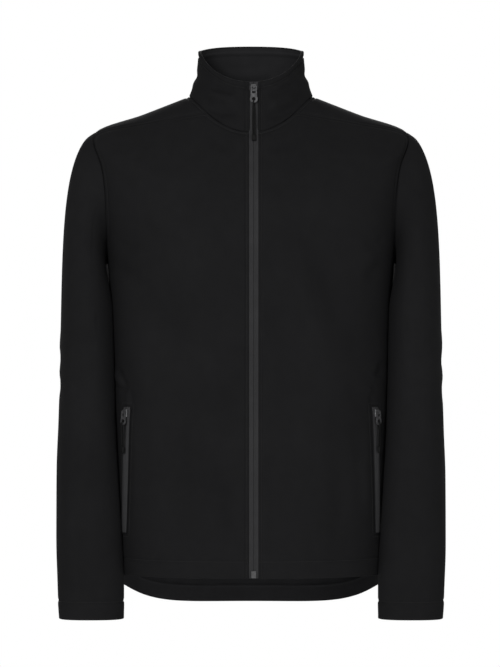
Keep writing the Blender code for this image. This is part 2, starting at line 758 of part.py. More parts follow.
def make_main_zip(metal, cord):
    place = front_at(ZIP_X, MAIN_HINGE_Z)
    angle = ring_angle_at_x(jacket_ring(place), ZIP_X)
    out = body_normal(angle, place)
    up = body(angle, place + NORMAL_STEP) - body(angle, place)
    frame = hardware_frame(body(angle, place) - out * TAPE_SUNK, out, up)
    make_zip_pull("main", frame, MAIN_PULL, MAIN_CORD_DOWN, metal, cord, over_front=True)

    hem = hem_place(0.0)
    low = body_at_x(ZIP_X, hem)
    up = body_at_x(ZIP_X, hem + NORMAL_STEP) - low
    out = body_normal(ring_angle_at_x(jacket_ring(hem), ZIP_X), hem)
    stop = box("zip_box", ZIP_BOX, (0, -SEAM_GAP - ZIP_BOX[1] / 2, ZIP_BOX[2] / 2), metal, bevel=0.0006)
    stop.matrix_world = hardware_frame(low - out * TAPE_SUNK, out, up)


def make_pocket_zips(tape, metal, cord):
    for side, name in ((-1, "right"), (1, "left")):
        make_pocket_zip(side, "pocket_zip_" + name, tape)
        length = POCKET_TOP[0] - POCKET_BOTTOM[0]
        share = POCKET_HINGE_DOWN / length
        angle, place = pocket_line(share)
        out = body_normal(side * angle, place)
        above, below = pocket_line(share - 0.05), pocket_line(share + 0.05)
        up = body(side * above[0], above[1]) - body(side * below[0], below[1])
        origin = body(side * angle, place) + out * (SEAM_GAP + TAPE)
        frame = hardware_frame(origin, out, up)
        make_zip_pull("pocket_" + name, frame, POCKET_PULL, POCKET_CORD_DOWN, metal, cord)


def main():
    clear_scene()
    cloth = material("softshell_black", BLACK, 0.85)
    tape = material("zip_tape_grey", TAPE_GREY, 0.7)
    metal = material("gunmetal", GUNMETAL, 0.4, 1.0)
    cord = material("cord_black", CORD_BLACK, 0.7)
    make_panels(cloth)
    make_sleeves(cloth)
    make_collar(cloth)
    make_zip_tapes(tape)
    make_main_zip(metal, cord)
    make_pocket_zips(tape, metal, cord)


main()
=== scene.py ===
import math

import bmesh
import bpy
import numpy as np
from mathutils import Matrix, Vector


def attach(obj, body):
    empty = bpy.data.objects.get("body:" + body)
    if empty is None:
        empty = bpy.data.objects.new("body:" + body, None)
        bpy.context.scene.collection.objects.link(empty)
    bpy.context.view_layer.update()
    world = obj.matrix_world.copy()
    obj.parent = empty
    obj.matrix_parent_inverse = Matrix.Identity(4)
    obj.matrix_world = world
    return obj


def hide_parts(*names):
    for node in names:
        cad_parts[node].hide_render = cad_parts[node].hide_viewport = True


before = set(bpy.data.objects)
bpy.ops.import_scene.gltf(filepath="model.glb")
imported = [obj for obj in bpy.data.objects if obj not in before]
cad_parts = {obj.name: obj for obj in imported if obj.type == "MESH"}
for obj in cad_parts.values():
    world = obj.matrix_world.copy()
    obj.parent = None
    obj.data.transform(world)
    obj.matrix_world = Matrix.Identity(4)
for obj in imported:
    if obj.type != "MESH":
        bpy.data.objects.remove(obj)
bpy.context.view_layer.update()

JACKET = "jacket"

# The camera looks straight at the front, as in the photograph
CAMERA_PLACE = (-0.0014, -4.5, -0.331)
CAMERA_LENS = 173.4

# The cloth's sizes, as in the part
CLOTH = 0.0015
HEM_CLOTH = 0.0024
COLLAR_CLOTH = 0.0030
SEAM_GAP = 0.0003
HEM_FOLD = 0.022
CUFF_FOLD = 0.024
ZIP_X = 0.0037
ZIP_SHOWN = 0.0126
TAPE = 0.0010
TAPE_SUNK = 0.0004

# The collar's turned top edge: how much thicker it is, and how far it dips all round and more at the sides
COLLAR_EDGE_EXTRA = 0.0014
COLLAR_EDGE_WIDTH = 0.009
COLLAR_FOOT_WIDTH = 0.004     # over this the foot thins down to one layer
COLLAR_TOP_DROP = 0.0009
COLLAR_SIDE_DROP = 0.0022
COLLAR_DROP_WIDTH = 0.010
COLLAR_DROP_POWER = 6

# The body's rings: heights at centre front, side and centre back; half width, depths before and behind
# the side line; how square the ring is; and how its height leaves the side's height
BODY_RINGS = np.array((
    (-0.7600, -0.7600, -0.7600, 0.1815, 0.121, 0.122, 2.15, 2.0),
    (-0.6800, -0.6800, -0.6800, 0.1835, 0.122, 0.120, 2.15, 2.0),
    (-0.5600, -0.5600, -0.5600, 0.1895, 0.120, 0.112, 2.20, 2.0),
    (-0.4300, -0.4300, -0.4300, 0.1945, 0.118, 0.101, 2.30, 2.0),
    (-0.3200, -0.3200, -0.3200, 0.1960, 0.126, 0.112, 2.35, 2.0),
    (-0.2150, -0.2350, -0.1850, 0.2000, 0.132, 0.122, 2.45, 2.0),
    (-0.1720, -0.1500, -0.1250, 0.2105, 0.127, 0.118, 2.60, 1.9),
    (-0.1400, -0.0870, -0.0880, 0.2175, 0.120, 0.110, 2.60, 1.8),
    (-0.1150, -0.0490, -0.0560, 0.2170, 0.110, 0.098, 2.55, 1.75),
    (-0.0840, -0.0245, -0.0210, 0.1510, 0.098, 0.083, 2.40, 1.75),
    (-0.0535, 0.0000, 0.0080, 0.0870, 0.085, 0.068, 2.20, 2.6),
))
ARMPIT_RING = 5.0
SHOULDER_RING = 8.0
NECK_RING = 10.0
COLLAR_TOP = np.array((0.0155, 0.0660, 0.0750, 0.0740, 0.074, 0.060, 2.20, 1.5))
COLLAR_FLARE = 2.2

FRONT_HEM_Z = -0.6645
SIDE_HEM_Z = -0.6800
TAIL_Z = -0.7145
HEM_TURN = 0.40
FRONT_BEND = 1.5
TAIL_BEND = 2.2

ARMHOLE_FRONT = 27.0
ARMHOLE_BACK = 30.0
SHOULDER_SEAM_AT = 154.0
SHOULDER_SEAM = ((42.0, 10.0), (54.0, 9.5), (65.0, 9.0), (73.0, 8.4))

# The sleeve: height, outer edge, inner edge, half depth, middle of the depth
SLEEVE = np.array((
    (-0.300, 0.2657, 0.1915, 0.076, 0.000),
    (-0.400, 0.2675, 0.1900, 0.067, -0.007),
    (-0.500, 0.2695, 0.1865, 0.058, -0.016),
    (-0.600, 0.2697, 0.1815, 0.048, -0.026),
    (-0.680, 0.2690, 0.1802, 0.040, -0.032),
    (-0.7255, 0.2665, 0.1815, 0.036, -0.035),
))
SLEEVE_SQUARE = 2.5
SLEEVE_INNER_FULLER = 1.12    # the half beside the body reaches out by this before it meets the body
SLEEVE_BODY_SIDE = 0.3        # the body limits a sleeve on the side where its ring's cosine is under this
SLEEVE_CLEAR = 0.0003         # closer to the body than in the part, as the photograph shows the arms
SLEEVE_CLEAR_BLEND = 0.0010
ARMHOLE_GAP = 0.0006
UNDERARM_GAP = 0.0018
CAP_OUT = np.array((0.936, 0.0, -0.353))
CAP_DOWN = np.array((0.05, 0.0, -1.0))
CAP_SIDE = (0.25, -0.12, -0.10)   # how the cap leaves the armhole at the front; the back mirrors the depth
# How far each end of the cap's curve pulls, as shares of its length: under the arm, and the shoulder's extra
CAP_START = (0.26, -0.08)
CAP_END = (0.36, 0.07)
CAP_NEXT_ROW = 0.03               # the height below the cap at which its lower end takes its direction

# The seam tape inside the armholes and the neck
SEAM_TAPE = 0.0006
SEAM_TAPE_IN = 0.005
SEAM_TAPE_DEEP = 0.0029
NECK_TAPE_DOWN = 0.10         # in rings of the body's table
NECK_TAPE_DEEP = 0.0034
NECK_TAPE_SHORT = 3           # columns left out at each end
ARMHOLE_SPOTS = 720
NECK_SPOTS = 1441

# Rows and columns of the walls, as in the part, before they are refined
SIDE_ROWS = 12
ARMHOLE_ROWS = 10
NECK_FRONT = 6
NECK_BACK = 20
SEAM_COLUMNS = 7
CAP_ROWS = 8
ARM_ROWS = 11
COLLAR_ROWS = 5
EVEN_ROUNDS = 200
HALVINGS = 40
DEGREES_PER_RING = 27.0
NORMAL_STEP = 0.02
NORMAL_TURN = 0.5

# How many lines the refined grids have for each coarse one, and how far apart the coarse ones lie
PANEL_FINER = 5
PANEL_SPACING = 0.018
SLEEVE_ROWS_FINER = 8
SLEEVE_COLUMNS_FINER = 6
SLEEVE_SPACING = 0.020
COLLAR_FINER = 5
COLLAR_ROW_SPACING = 0.016
COLLAR_COLUMN_SPACING = 0.013
BESIDE_SEAM = (0.0007, 0.0014, 0.0024, 0.0034, 0.0042, 0.0050, 0.0058, 0.0068)
LINE_ROOM = 0.35              # an even line this near to a line beside a seam is left out, in its own steps
# Rows above the hem and the cuff that follow the fold: metres up a panel, and places up a sleeve
HEM_SPACING = 0.036
HEM_LINES = (0.0006, 0.0018, 0.0180, 0.0198, 0.0208, 0.0220, 0.0232, 0.0244, 0.0262)
CUFF_LINES = (0.025, 0.08, 0.72, 0.86, 0.93, 1.0, 1.05, 1.12, 1.22)
# Rows of a front where the small creases above the pockets lie
POCKET_FINE_ROWS = np.arange(6.15, 7.65, 0.07)

# Pocket zips: height and distance from the middle, at the top and the bottom
POCKET_TOP = (-0.4330, 0.1710)
POCKET_BOTTOM = (-0.6060, 0.1755)
POCKET_ZIP_WIDTH = 0.0120
POCKET_CORNER = 0.002
POCKET_COIL_SHARE = 0.7       # the pocket zips' coil stands this much as high as the main zip's
POCKET_STITCH_OUT = 0.0062    # the stitches round a pocket, from the zip's edge
POCKET_BEYOND = 0.06          # how far the line down a pocket's middle runs past its ends

# Sewing
SEAM_ROLL = 0.0011        # how far a panel's edge turns in at a seam
SEAM_ROLL_WIDTH = 0.0022
SLEEVE_ROLL_SHARE = 1.2
FOLD_STEP = 0.0003        # how far the turned hem and cuff stand out
FOLD_STEP_WIDTH = 0.002
STITCH_GROOVE = 0.0013
STITCH_GROOVE_WIDTH = 0.0017
COLLAR_GROOVE = 0.0024
SEAM_STITCH_IN = 0.0050   # topstitching beside an armhole or shoulder seam
NECK_STITCH_IN = 0.0040
COLLAR_STITCH_IN = 0.0075
ZIP_STITCH_IN = 0.0045
STITCH_LONG = 0.0025
STITCH_EVERY = 0.0031
THREAD = 0.00052
STITCH_AHEAD = 0.001      # how far apart the path is read for a stitch's direction

# The cords: the braid's roundness, its turns in radians a metre, and how far its strands stand out
CORD = 0.0018
CORD_RINGS = 352
CORD_SIDES = 14
BRAID_TURNS = 1900
BRAID_LOW = 0.93
BRAID_HIGH = 0.035
# The cords' route points, as in the part: from the moulded end up through the pull's ring and back
CORD_ROUTES = {
    "main": (
        (0.0026, -0.0904, -0.0577), (0.0024, -0.0896, -0.0502), (0.0023, -0.0881, -0.0378),
        (0.0025, -0.0865, -0.0239), (0.0030, -0.0855, -0.0139), (0.0035, -0.0850, -0.0106),
        (0.0038, -0.0840, -0.0085), (0.0038, -0.0824, -0.0077), (0.0039, -0.0812, -0.0090),
        (0.0042, -0.0810, -0.0112), (0.0047, -0.0815, -0.0146), (0.0052, -0.0836, -0.0244),
        (0.0054, -0.0864, -0.0381), (0.0054, -0.0888, -0.0504), (0.0052, -0.0904, -0.0577)),
    "pocket_right": (
        (-0.1780, -0.0639, -0.4864), (-0.1783, -0.0645, -0.4812), (-0.1785, -0.0654, -0.4725),
        (-0.1785, -0.0668, -0.4628), (-0.1785, -0.0680, -0.4577), (-0.1782, -0.0687, -0.4543),
        (-0.1774, -0.0686, -0.4521), (-0.1762, -0.0679, -0.4511), (-0.1752, -0.0669, -0.4520),
        (-0.1745, -0.0665, -0.4542), (-0.1743, -0.0666, -0.4577), (-0.1746, -0.0670, -0.4629),
        (-0.1751, -0.0667, -0.4727), (-0.1757, -0.0661, -0.4814), (-0.1763, -0.0658, -0.4867)),
    "pocket_left": (
        (0.1763, -0.0658, -0.4867), (0.1763, -0.0667, -0.4815), (0.1763, -0.0678, -0.4728),
        (0.1767, -0.0688, -0.4630), (0.1773, -0.0693, -0.4578), (0.1776, -0.0693, -0.4544),
        (0.1772, -0.0688, -0.4521), (0.1762, -0.0679, -0.4511), (0.1753, -0.0668, -0.4520),
        (0.1750, -0.0659, -0.4542), (0.1755, -0.0653, -0.4575), (0.1764, -0.0649, -0.4627),
        (0.1773, -0.0643, -0.4724), (0.1777, -0.0639, -0.4812), (0.1780, -0.0639, -0.4864)),
}

# All creases are this much as deep as their tables say, and flatten towards the seams and folds
CREASE_STRENGTH = 1.35
CREASE_SEEN = 0.05            # they start where the cloth faces their side by this,
CREASE_FACING = 0.35          # and have their full depth where it faces it by this
CREASE_END = 0.3              # the share of a crease over which each end fades
CREASE_END_LEFT = 0.06        # the share of its depth that is left at the end
RIDGE = 0.42                  # beside the trough runs a ridge: its height, and its place, width and reach
RIDGE_AT = 1.7                # in half widths of the crease
RIDGE_WIDTH = 0.9
RIDGE_REACH = 2.6
RIDGE_END = 4.0
SEAM_CALM = (0.80, 0.006)     # share taken off the creases at an edge, and over what distance
SLEEVE_TOP_CALM = (0.85, 0.012)
CUFF_CALM = (1.0, 0.020)
COLLAR_CALM = (0.70, 0.007)
SLEEVE_INNER_SIDE = -0.35     # a sleeve has no creases where it faces the body by more than this

# Creases: the side they are seen from; points as (across, height), where across is x on the front and
# back and y on the wearer's sides; half width; depth of the trough, or less than nothing for a ridge
CREASES = (
    # the long soft fold across the wearer's left front
    ("front", ((0.046, -0.185), (0.078, -0.285), (0.108, -0.370), (0.130, -0.455)), 0.024, -0.0032),
    ("front", ((0.074, -0.180), (0.104, -0.245), (0.128, -0.330)), 0.022, 0.0028),
    ("front", ((0.024, -0.240), (0.044, -0.360), (0.060, -0.470)), 0.020, 0.0016),
    # the hollow under the wearer's right chest and the fold beside it
    ("front", ((-0.150, -0.215), (-0.128, -0.290), (-0.112, -0.360)), 0.026, 0.0030),
    ("front", ((-0.090, -0.170), (-0.074, -0.270), (-0.062, -0.390)), 0.024, -0.0018),
    ("front", ((-0.040, -0.110), (-0.030, -0.220), (-0.036, -0.330)), 0.018, -0.0010),
    ("front", ((-0.160, -0.330), (-0.148, -0.400), (-0.136, -0.470)), 0.014, -0.0014),
    # long low folds down to the hem
    ("front", ((-0.072, -0.380), (-0.066, -0.500), (-0.070, -0.630)), 0.020, -0.0014),
    ("front", ((-0.108, -0.430), (-0.104, -0.540), (-0.112, -0.640)), 0.016, 0.0014),
    ("front", ((-0.030, -0.420), (-0.026, -0.540), (-0.032, -0.640)), 0.014, 0.0009),
    ("front", ((0.032, -0.470), (0.040, -0.560), (0.036, -0.640)), 0.015, 0.0010),
    ("front", ((0.086, -0.430), (0.092, -0.540), (0.088, -0.640)), 0.018, -0.0013),
    ("front", ((0.122, -0.470), (0.126, -0.560), (0.120, -0.640)), 0.014, 0.0012),
    # above the pockets
    ("front", ((-0.1865, -0.376), (-0.1790, -0.393), (-0.1715, -0.407)), 0.0040, 0.0026),
    ("front", ((-0.1875, -0.4035), (-0.1760, -0.4080), (-0.1650, -0.4085)), 0.0026, 0.0018),
    ("front", ((-0.1860, -0.3860), (-0.1775, -0.4010)), 0.0050, -0.0014),
    ("front", ((0.1560, -0.4040), (0.1640, -0.4070), (0.1730, -0.4050)), 0.0026, 0.0018),
    ("front", ((0.1570, -0.4110), (0.1650, -0.4100), (0.1740, -0.4120)), 0.0034, -0.0011),
    ("front", ((0.1820, -0.3700), (0.1760, -0.3950)), 0.0060, 0.0016),
    ("front", ((-0.1665, -0.4080), (-0.1650, -0.4220), (-0.1655, -0.4400)), 0.0032, 0.0014),
    ("front", ((0.1740, -0.4060), (0.1665, -0.4160), (0.1660, -0.4400)), 0.0036, 0.0010),
    # beside the pocket zips
    ("front", ((-0.1600, -0.430), (-0.1590, -0.520), (-0.1620, -0.600)), 0.0070, -0.0011),
    ("front", ((0.1590, -0.440), (0.1600, -0.530), (0.1625, -0.600)), 0.0070, -0.0011),
    # from the neck over the chest
    ("front", ((-0.058, -0.050), (-0.048, -0.066), (-0.030, -0.080)), 0.0070, 0.0010),
    ("front", ((0.060, -0.052), (0.046, -0.070), (0.026, -0.084)), 0.0080, 0.0010),
    ("front", ((-0.130, -0.070), (-0.112, -0.110), (-0.100, -0.150)), 0.014, 0.0012),
    ("front", ((0.136, -0.074), (0.120, -0.112), (0.112, -0.160)), 0.015, 0.0013),
    # from the armholes in towards the chest
    ("front", ((-0.186, -0.205), (-0.168, -0.214), (-0.146, -0.206)), 0.0080, 0.0016),
    ("front", ((-0.188, -0.232), (-0.172, -0.250), (-0.150, -0.262)), 0.0090, 0.0018),
    ("front", ((0.188, -0.198), (0.170, -0.210), (0.152, -0.204)), 0.0080, 0.0014),
    ("front", ((0.189, -0.228), (0.174, -0.242), (0.158, -0.262)), 0.0090, 0.0018),
    # back: shoulder blades, the hollow down the spine and the waist
    ("back", ((0.000, -0.060), (0.003, -0.170), (-0.002, -0.300)), 0.026, 0.0022),
    ("back", ((-0.090, -0.110), (-0.074, -0.210), (-0.084, -0.330)), 0.028, -0.0026),
    ("back", ((0.092, -0.116), (0.080, -0.220), (0.070, -0.340)), 0.028, -0.0024),
    ("back", ((-0.160, -0.300), (-0.110, -0.372), (-0.046, -0.404)), 0.013, 0.0026),
    ("back", ((-0.150, -0.350), (-0.100, -0.420), (-0.036, -0.446)), 0.012, 0.0020),
    ("back", ((0.156, -0.316), (0.104, -0.380), (0.050, -0.398)), 0.013, 0.0024),
    ("back", ((0.152, -0.372), (0.110, -0.430), (0.052, -0.462)), 0.013, 0.0020),
    ("back", ((-0.080, -0.360), (-0.020, -0.382), (0.050, -0.372)), 0.011, -0.0016),
    ("back", ((-0.074, -0.480), (-0.066, -0.590), (-0.078, -0.690)), 0.020, -0.0020),
    ("back", ((0.012, -0.450), (0.022, -0.570), (0.014, -0.700)), 0.017, 0.0018),
    ("back", ((0.086, -0.480), (0.080, -0.600), (0.090, -0.690)), 0.020, -0.0018),
    ("back", ((-0.126, -0.480), (-0.120, -0.580), (-0.130, -0.670)), 0.015, 0.0016),
    ("back", ((0.132, -0.500), (0.126, -0.600), (0.132, -0.670)), 0.015, 0.0015),
    ("back", ((-0.172, -0.150), (-0.148, -0.200), (-0.116, -0.228)), 0.011, 0.0018),
    ("back", ((0.174, -0.156), (0.146, -0.196), (0.120, -0.232)), 0.011, 0.0018),
    ("back", ((-0.060, -0.030), (-0.020, -0.044), (0.030, -0.040)), 0.009, 0.0010),
    # sleeves from the front and the back
    ("front", ((-0.262, -0.330), (-0.236, -0.352), (-0.208, -0.350)), 0.010, 0.0017),
    ("front", ((-0.262, -0.372), (-0.240, -0.392), (-0.212, -0.396)), 0.009, 0.0014),
    ("front", ((-0.210, -0.300), (-0.226, -0.322), (-0.248, -0.330)), 0.010, -0.0010),
    ("front", ((-0.222, -0.440), (-0.228, -0.540), (-0.222, -0.660)), 0.013, -0.0009),
    ("front", ((0.262, -0.340), (0.240, -0.362), (0.210, -0.366)), 0.010, 0.0016),
    ("front", ((0.264, -0.392), (0.238, -0.402), (0.214, -0.420)), 0.009, 0.0013),
    ("front", ((0.212, -0.310), (0.232, -0.332), (0.250, -0.336)), 0.010, -0.0010),
    ("front", ((0.228, -0.450), (0.224, -0.560), (0.230, -0.670)), 0.013, -0.0009),
    ("front", ((-0.226, -0.120), (-0.232, -0.180), (-0.226, -0.250)), 0.013, -0.0009),
    ("front", ((0.228, -0.124), (0.234, -0.190), (0.228, -0.256)), 0.013, -0.0009),
    ("back", ((-0.244, -0.344), (-0.228, -0.374), (-0.204, -0.388)), 0.011, 0.0018),
    ("back", ((-0.242, -0.388), (-0.226, -0.408), (-0.204, -0.414)), 0.010, 0.0014),
    ("back", ((0.244, -0.338), (0.228, -0.362), (0.204, -0.380)), 0.011, 0.0018),
    ("back", ((0.242, -0.388), (0.226, -0.400), (0.204, -0.420)), 0.010, 0.0014),
    ("back", ((-0.224, -0.440), (-0.228, -0.540), (-0.222, -0.650)), 0.013, 0.0010),
    ("back", ((0.226, -0.450), (0.222, -0.560), (0.226, -0.660)), 0.013, 0.0010),
    # the outside of the sleeves and the sides of the body
    ("right", ((0.022, -0.346), (-0.004, -0.366), (-0.034, -0.372)), 0.012, 0.0016),
    ("right", ((0.016, -0.392), (-0.010, -0.404), (-0.044, -0.400)), 0.012, 0.0014),
    ("right", ((-0.020, -0.450), (-0.030, -0.560), (-0.036, -0.680)), 0.012, -0.0010),
    ("left", ((0.020, -0.350), (-0.006, -0.362), (-0.036, -0.380)), 0.012, 0.0016),
    ("left", ((0.016, -0.392), (-0.012, -0.408), (-0.040, -0.414)), 0.012, 0.0014),
    ("left", ((-0.018, -0.460), (-0.028, -0.570), (-0.038, -0.690)), 0.012, -0.0010),
    ("right", ((0.080, -0.260), (0.064, -0.400), (0.072, -0.560)), 0.015, -0.0012),
    ("left", ((0.078, -0.270), (0.066, -0.410), (0.070, -0.570)), 0.015, -0.0012),
)

# Creases of the collar, placed in the same way
COLLAR_CREASES = (
    ("front", ((-0.062, 0.014), (-0.040, 0.006), (-0.016, 0.001)), 0.0045, 0.0022),
    ("front", ((-0.066, 0.002), (-0.046, -0.006), (-0.022, -0.010)), 0.0060, -0.0020),
    ("front", ((-0.066, -0.016), (-0.042, -0.026), (-0.014, -0.028)), 0.0050, 0.0020),
    ("front", ((0.020, -0.004), (0.042, 0.004), (0.064, 0.016)), 0.0050, 0.0020),
    ("front", ((0.022, -0.018), (0.046, -0.012), (0.068, -0.002)), 0.0060, -0.0019),
    ("front", ((0.018, -0.034), (0.040, -0.030), (0.062, -0.018)), 0.0050, 0.0017),
    ("back", ((-0.048, 0.040), (-0.010, 0.034), (0.040, 0.042)), 0.0070, 0.0015),
    ("back", ((-0.054, 0.022), (0.000, 0.018), (0.050, 0.024)), 0.0060, -0.0012),
    ("right", ((-0.050, 0.022), (-0.010, 0.028), (0.030, 0.036)), 0.0060, 0.0015),
    ("left", ((-0.052, 0.026), (-0.010, 0.030), (0.032, 0.034)), 0.0060, 0.0015),
)


def smooth_table(rows, at, corners=()):
    """Rows of numbers at fractional places in a table, along smooth curves that stop at its corners."""
    at = np.asarray(at, dtype=float)
    shape = rows.shape[1:]
    out = np.empty(at.shape + shape)
    ends = [0, *corners, len(rows) - 1]
    for start, end in zip(ends, ends[1:]):
        block = rows[start:end + 1]
        padded = np.concatenate([2 * block[:1] - block[1:2], block, 2 * block[-1:] - block[-2:-1]])
        inside = np.ones(at.shape, dtype=bool)
        if start:
            inside &= at >= start
        if end < len(rows) - 1:
            inside &= at <= end
        local = at[inside] - start
        low = np.clip(np.floor(local).astype(int), 0, len(block) - 2)
        t = (local - low).reshape(-1, *(1,) * len(shape))
        a, b, c, d = (padded[low + k] for k in range(4))
        out[inside] = 0.5 * (2 * b + (c - a) * t + (2 * a - 5 * b + 4 * c - d) * t * t
                             + (3 * b - a - 3 * c + d) * t ** 3)
    return out


def place_in(column, value):
    """The fractional place in a column of numbers, falling or rising, at which it has this value."""
    low, high = 0.0, len(column) - 1.0
    rising = column[-1] > column[0]
    rows = column[:, None]
    for _ in range(HALVINGS):
        middle = (low + high) / 2
        if (smooth_table(rows, middle)[0] < value) == rising:
            low = middle
        else:
            high = middle
    return (low + high) / 2


def jacket_ring(place):
    """Rings of the body up to the neck seam, and of the collar from there."""
    place = np.asarray(place, dtype=float)
    ring = smooth_table(BODY_RINGS, np.minimum(place, NECK_RING))
    share = (place - NECK_RING)[..., None]
    low, high = BODY_RINGS[-1], COLLAR_TOP
    collar = low + (high - low) * share
    narrowed = 1 - np.maximum(0.0, 1 - share[..., 0]) ** COLLAR_FLARE
    collar[..., 3] = low[3] + (high[3] - low[3]) * narrowed
    return np.where(share > 0, collar, ring)


def body(degrees, place):
    """Points of the body's face, by the angle from centre front and the ring place."""
    degrees, place = np.broadcast_arrays(np.asarray(degrees, dtype=float), np.asarray(place, dtype=float))
    z_front, z_side, z_back, half_width, front, back, square, saddle = np.moveaxis(jacket_ring(place), -1, 0)
    sine, cosine = np.sin(np.radians(degrees)), np.cos(np.radians(degrees))
    reach = (np.abs(sine) ** square + np.abs(cosine) ** square) ** (-1 / square)
    across, along = reach * sine, -reach * cosine
    depth = np.where(along < 0, front, back)
    z_end = np.where(along < 0, z_front, z_back)
    z = z_side + (z_end - z_side) * np.abs(along) ** saddle
    return np.stack([half_width * across, depth * along, z], axis=-1)


def unit(vectors):
    return vectors / np.linalg.norm(vectors, axis=-1, keepdims=True)


def body_normal(degrees, place, collar=False):
    """The outward direction of the body's face, or of the collar's."""
    place = np.asarray(place, dtype=float)
    low, high = place - NORMAL_STEP, place + NORMAL_STEP
    on_collar = (place > NECK_RING) | collar
    just_above = NECK_RING + NORMAL_STEP / 10
    low = np.where(on_collar, np.maximum(low, just_above), np.minimum(low, NECK_RING - NORMAL_STEP))
    high = np.where(on_collar, np.maximum(high, NECK_RING + NORMAL_STEP), np.minimum(high, NECK_RING))
    across = body(degrees + NORMAL_TURN, place) - body(degrees - NORMAL_TURN, place)
    up = body(degrees, high) - body(degrees, low)
    return unit(np.cross(across, up))


def angle_at_x(place, x):
    ring = jacket_ring(place)
    across = np.asarray(x) / ring[..., 3]
    along = (1 - np.abs(across) ** ring[..., 6]) ** (1 / ring[..., 6])
    return np.degrees(np.arctan2(across, along))


def place_at_height(z):
    return place_in(BODY_RINGS[:, 1], z)


def body_half_width(y, z):
    """How far out the body's face is at a depth y and a height z."""
    ring = smooth_table(BODY_RINGS, place_at_height(z))
    along = min(1.0, abs(y) / (ring[4] if y < 0 else ring[5]))
    return ring[3] * (1 - along ** ring[6]) ** (1 / ring[6])


def hem_place(degrees):
    """The ring place of the hem at an angle round the body."""
    along = float(body(degrees, 1.0)[1])
    if along < 0:
        share = min(1.0, -along / BODY_RINGS[1][4] / HEM_TURN)
        z = SIDE_HEM_Z + (FRONT_HEM_Z - SIDE_HEM_Z) * math.sin(math.pi / 2 * share) ** FRONT_BEND
    else:
        share = along / BODY_RINGS[1][5]
        z = SIDE_HEM_Z + (TAIL_Z - SIDE_HEM_Z) * math.sin(math.pi / 2 * share) ** TAIL_BEND
    return place_at_height(z)


def armhole(turn):
    """Angle and ring place on the armhole, by the turn from the armpit over the front to the shoulder."""
    sine, cosine = math.sin(math.radians(turn)), math.cos(math.radians(turn))
    reach = ARMHOLE_FRONT if sine > 0 else ARMHOLE_BACK
    middle, half = (SHOULDER_RING + ARMPIT_RING) / 2, (SHOULDER_RING - ARMPIT_RING) / 2
    return 90 - reach * sine, middle - half * cosine


def shoulder_seam(share):
    """Angle and ring place on the forward shoulder seam, from the neck to the armhole."""
    rows = np.array(SHOULDER_SEAM + (armhole(SHOULDER_SEAM_AT),))
    return tuple(smooth_table(rows, share * (len(rows) - 1)))


def steps(count, low=0.0, high=1.0):
    return [low + (high - low) * i / count for i in range(count + 1)]


def zip_edge(side):
    return ZIP_X + side * ZIP_SHOWN / 2


def neck_angles(side):
    return steps(NECK_FRONT, float(angle_at_x(NECK_RING, zip_edge(side))), side * SHOULDER_SEAM[0][0])


def neck_back_angles():
    return steps(NECK_BACK, SHOULDER_SEAM[0][0], 360 - SHOULDER_SEAM[0][0])


def side_edge(back):
    """Side seam, then the armhole up to the shoulder seam's end, for the wearer's left."""
    edge = [(90.0, place) for place in steps(SIDE_ROWS, hem_place(90), ARMPIT_RING)]
    turns = steps(ARMHOLE_ROWS, 360.0 if back else 0.0, SHOULDER_SEAM_AT)
    return edge + [armhole(turn) for turn in turns[1:]]


def patch(bottom, top, left, right):
    """A grid of (angle, place) pairs that fills four edges, spaced evenly by elliptic smoothing."""
    scale = np.array([1 / DEGREES_PER_RING, 1.0])
    bottom, top, left, right = (np.array(edge) * scale for edge in (bottom, top, left, right))
    r = np.linspace(0, 1, len(left))[:, None, None]
    c = np.linspace(0, 1, len(bottom))[None, :, None]
    grid = ((1 - r) * bottom[None] + r * top[None] + (1 - c) * left[:, None] + c * right[:, None]
            - (1 - c) * (1 - r) * bottom[0] - c * (1 - r) * bottom[-1]
            - (1 - c) * r * top[0] - c * r * top[-1])
    for _ in range(EVEN_ROUNDS):
        up, down, after, before = grid[2:, 1:-1], grid[:-2, 1:-1], grid[1:-1, 2:], grid[1:-1, :-2]
        along_rows, along_columns = (after - before) / 2, (up - down) / 2
        row_weight = (along_columns ** 2).sum(axis=2, keepdims=True)
        column_weight = (along_rows ** 2).sum(axis=2, keepdims=True)
        slant = (along_rows * along_columns).sum(axis=2, keepdims=True)
        corners = grid[2:, 2:] - grid[2:, :-2] - grid[:-2, 2:] + grid[:-2, :-2]
        even = row_weight * (after + before) + column_weight * (up + down) - slant * corners / 2
        grid[1:-1, 1:-1] = even / (2 * (row_weight + column_weight))
    return grid / scale


def front_pairs(side):
    bottom_angles = steps(NECK_FRONT + SEAM_COLUMNS, float(angle_at_x(1.0, zip_edge(side))), side * 90)
    bottom = [(a, hem_place(a)) for a in bottom_angles]
    top = [(a, NECK_RING) for a in neck_angles(side)]
    for share in steps(SEAM_COLUMNS)[1:]:
        angle, place = shoulder_seam(share)
        top.append((side * angle, place))
    places = np.array(steps(SIDE_ROWS + ARMHOLE_ROWS, bottom[0][1], NECK_RING))
    left = list(zip(angle_at_x(places, zip_edge(side)), places))
    right = [(side * angle, place) for angle, place in side_edge(back=False)]
    return patch(bottom, top, left, right)


def back_pairs():
    bottom = [(a, hem_place(a)) for a in steps(NECK_BACK, 90, 270)]
    top = [(a, NECK_RING) for a in neck_back_angles()]
    seam = [shoulder_seam(share) for share in steps(SEAM_COLUMNS)]
    left = side_edge(back=True) + seam[-2::-1]
    right = [(360 - angle, place) for angle, place in left]
    return patch(bottom, top, left, right)


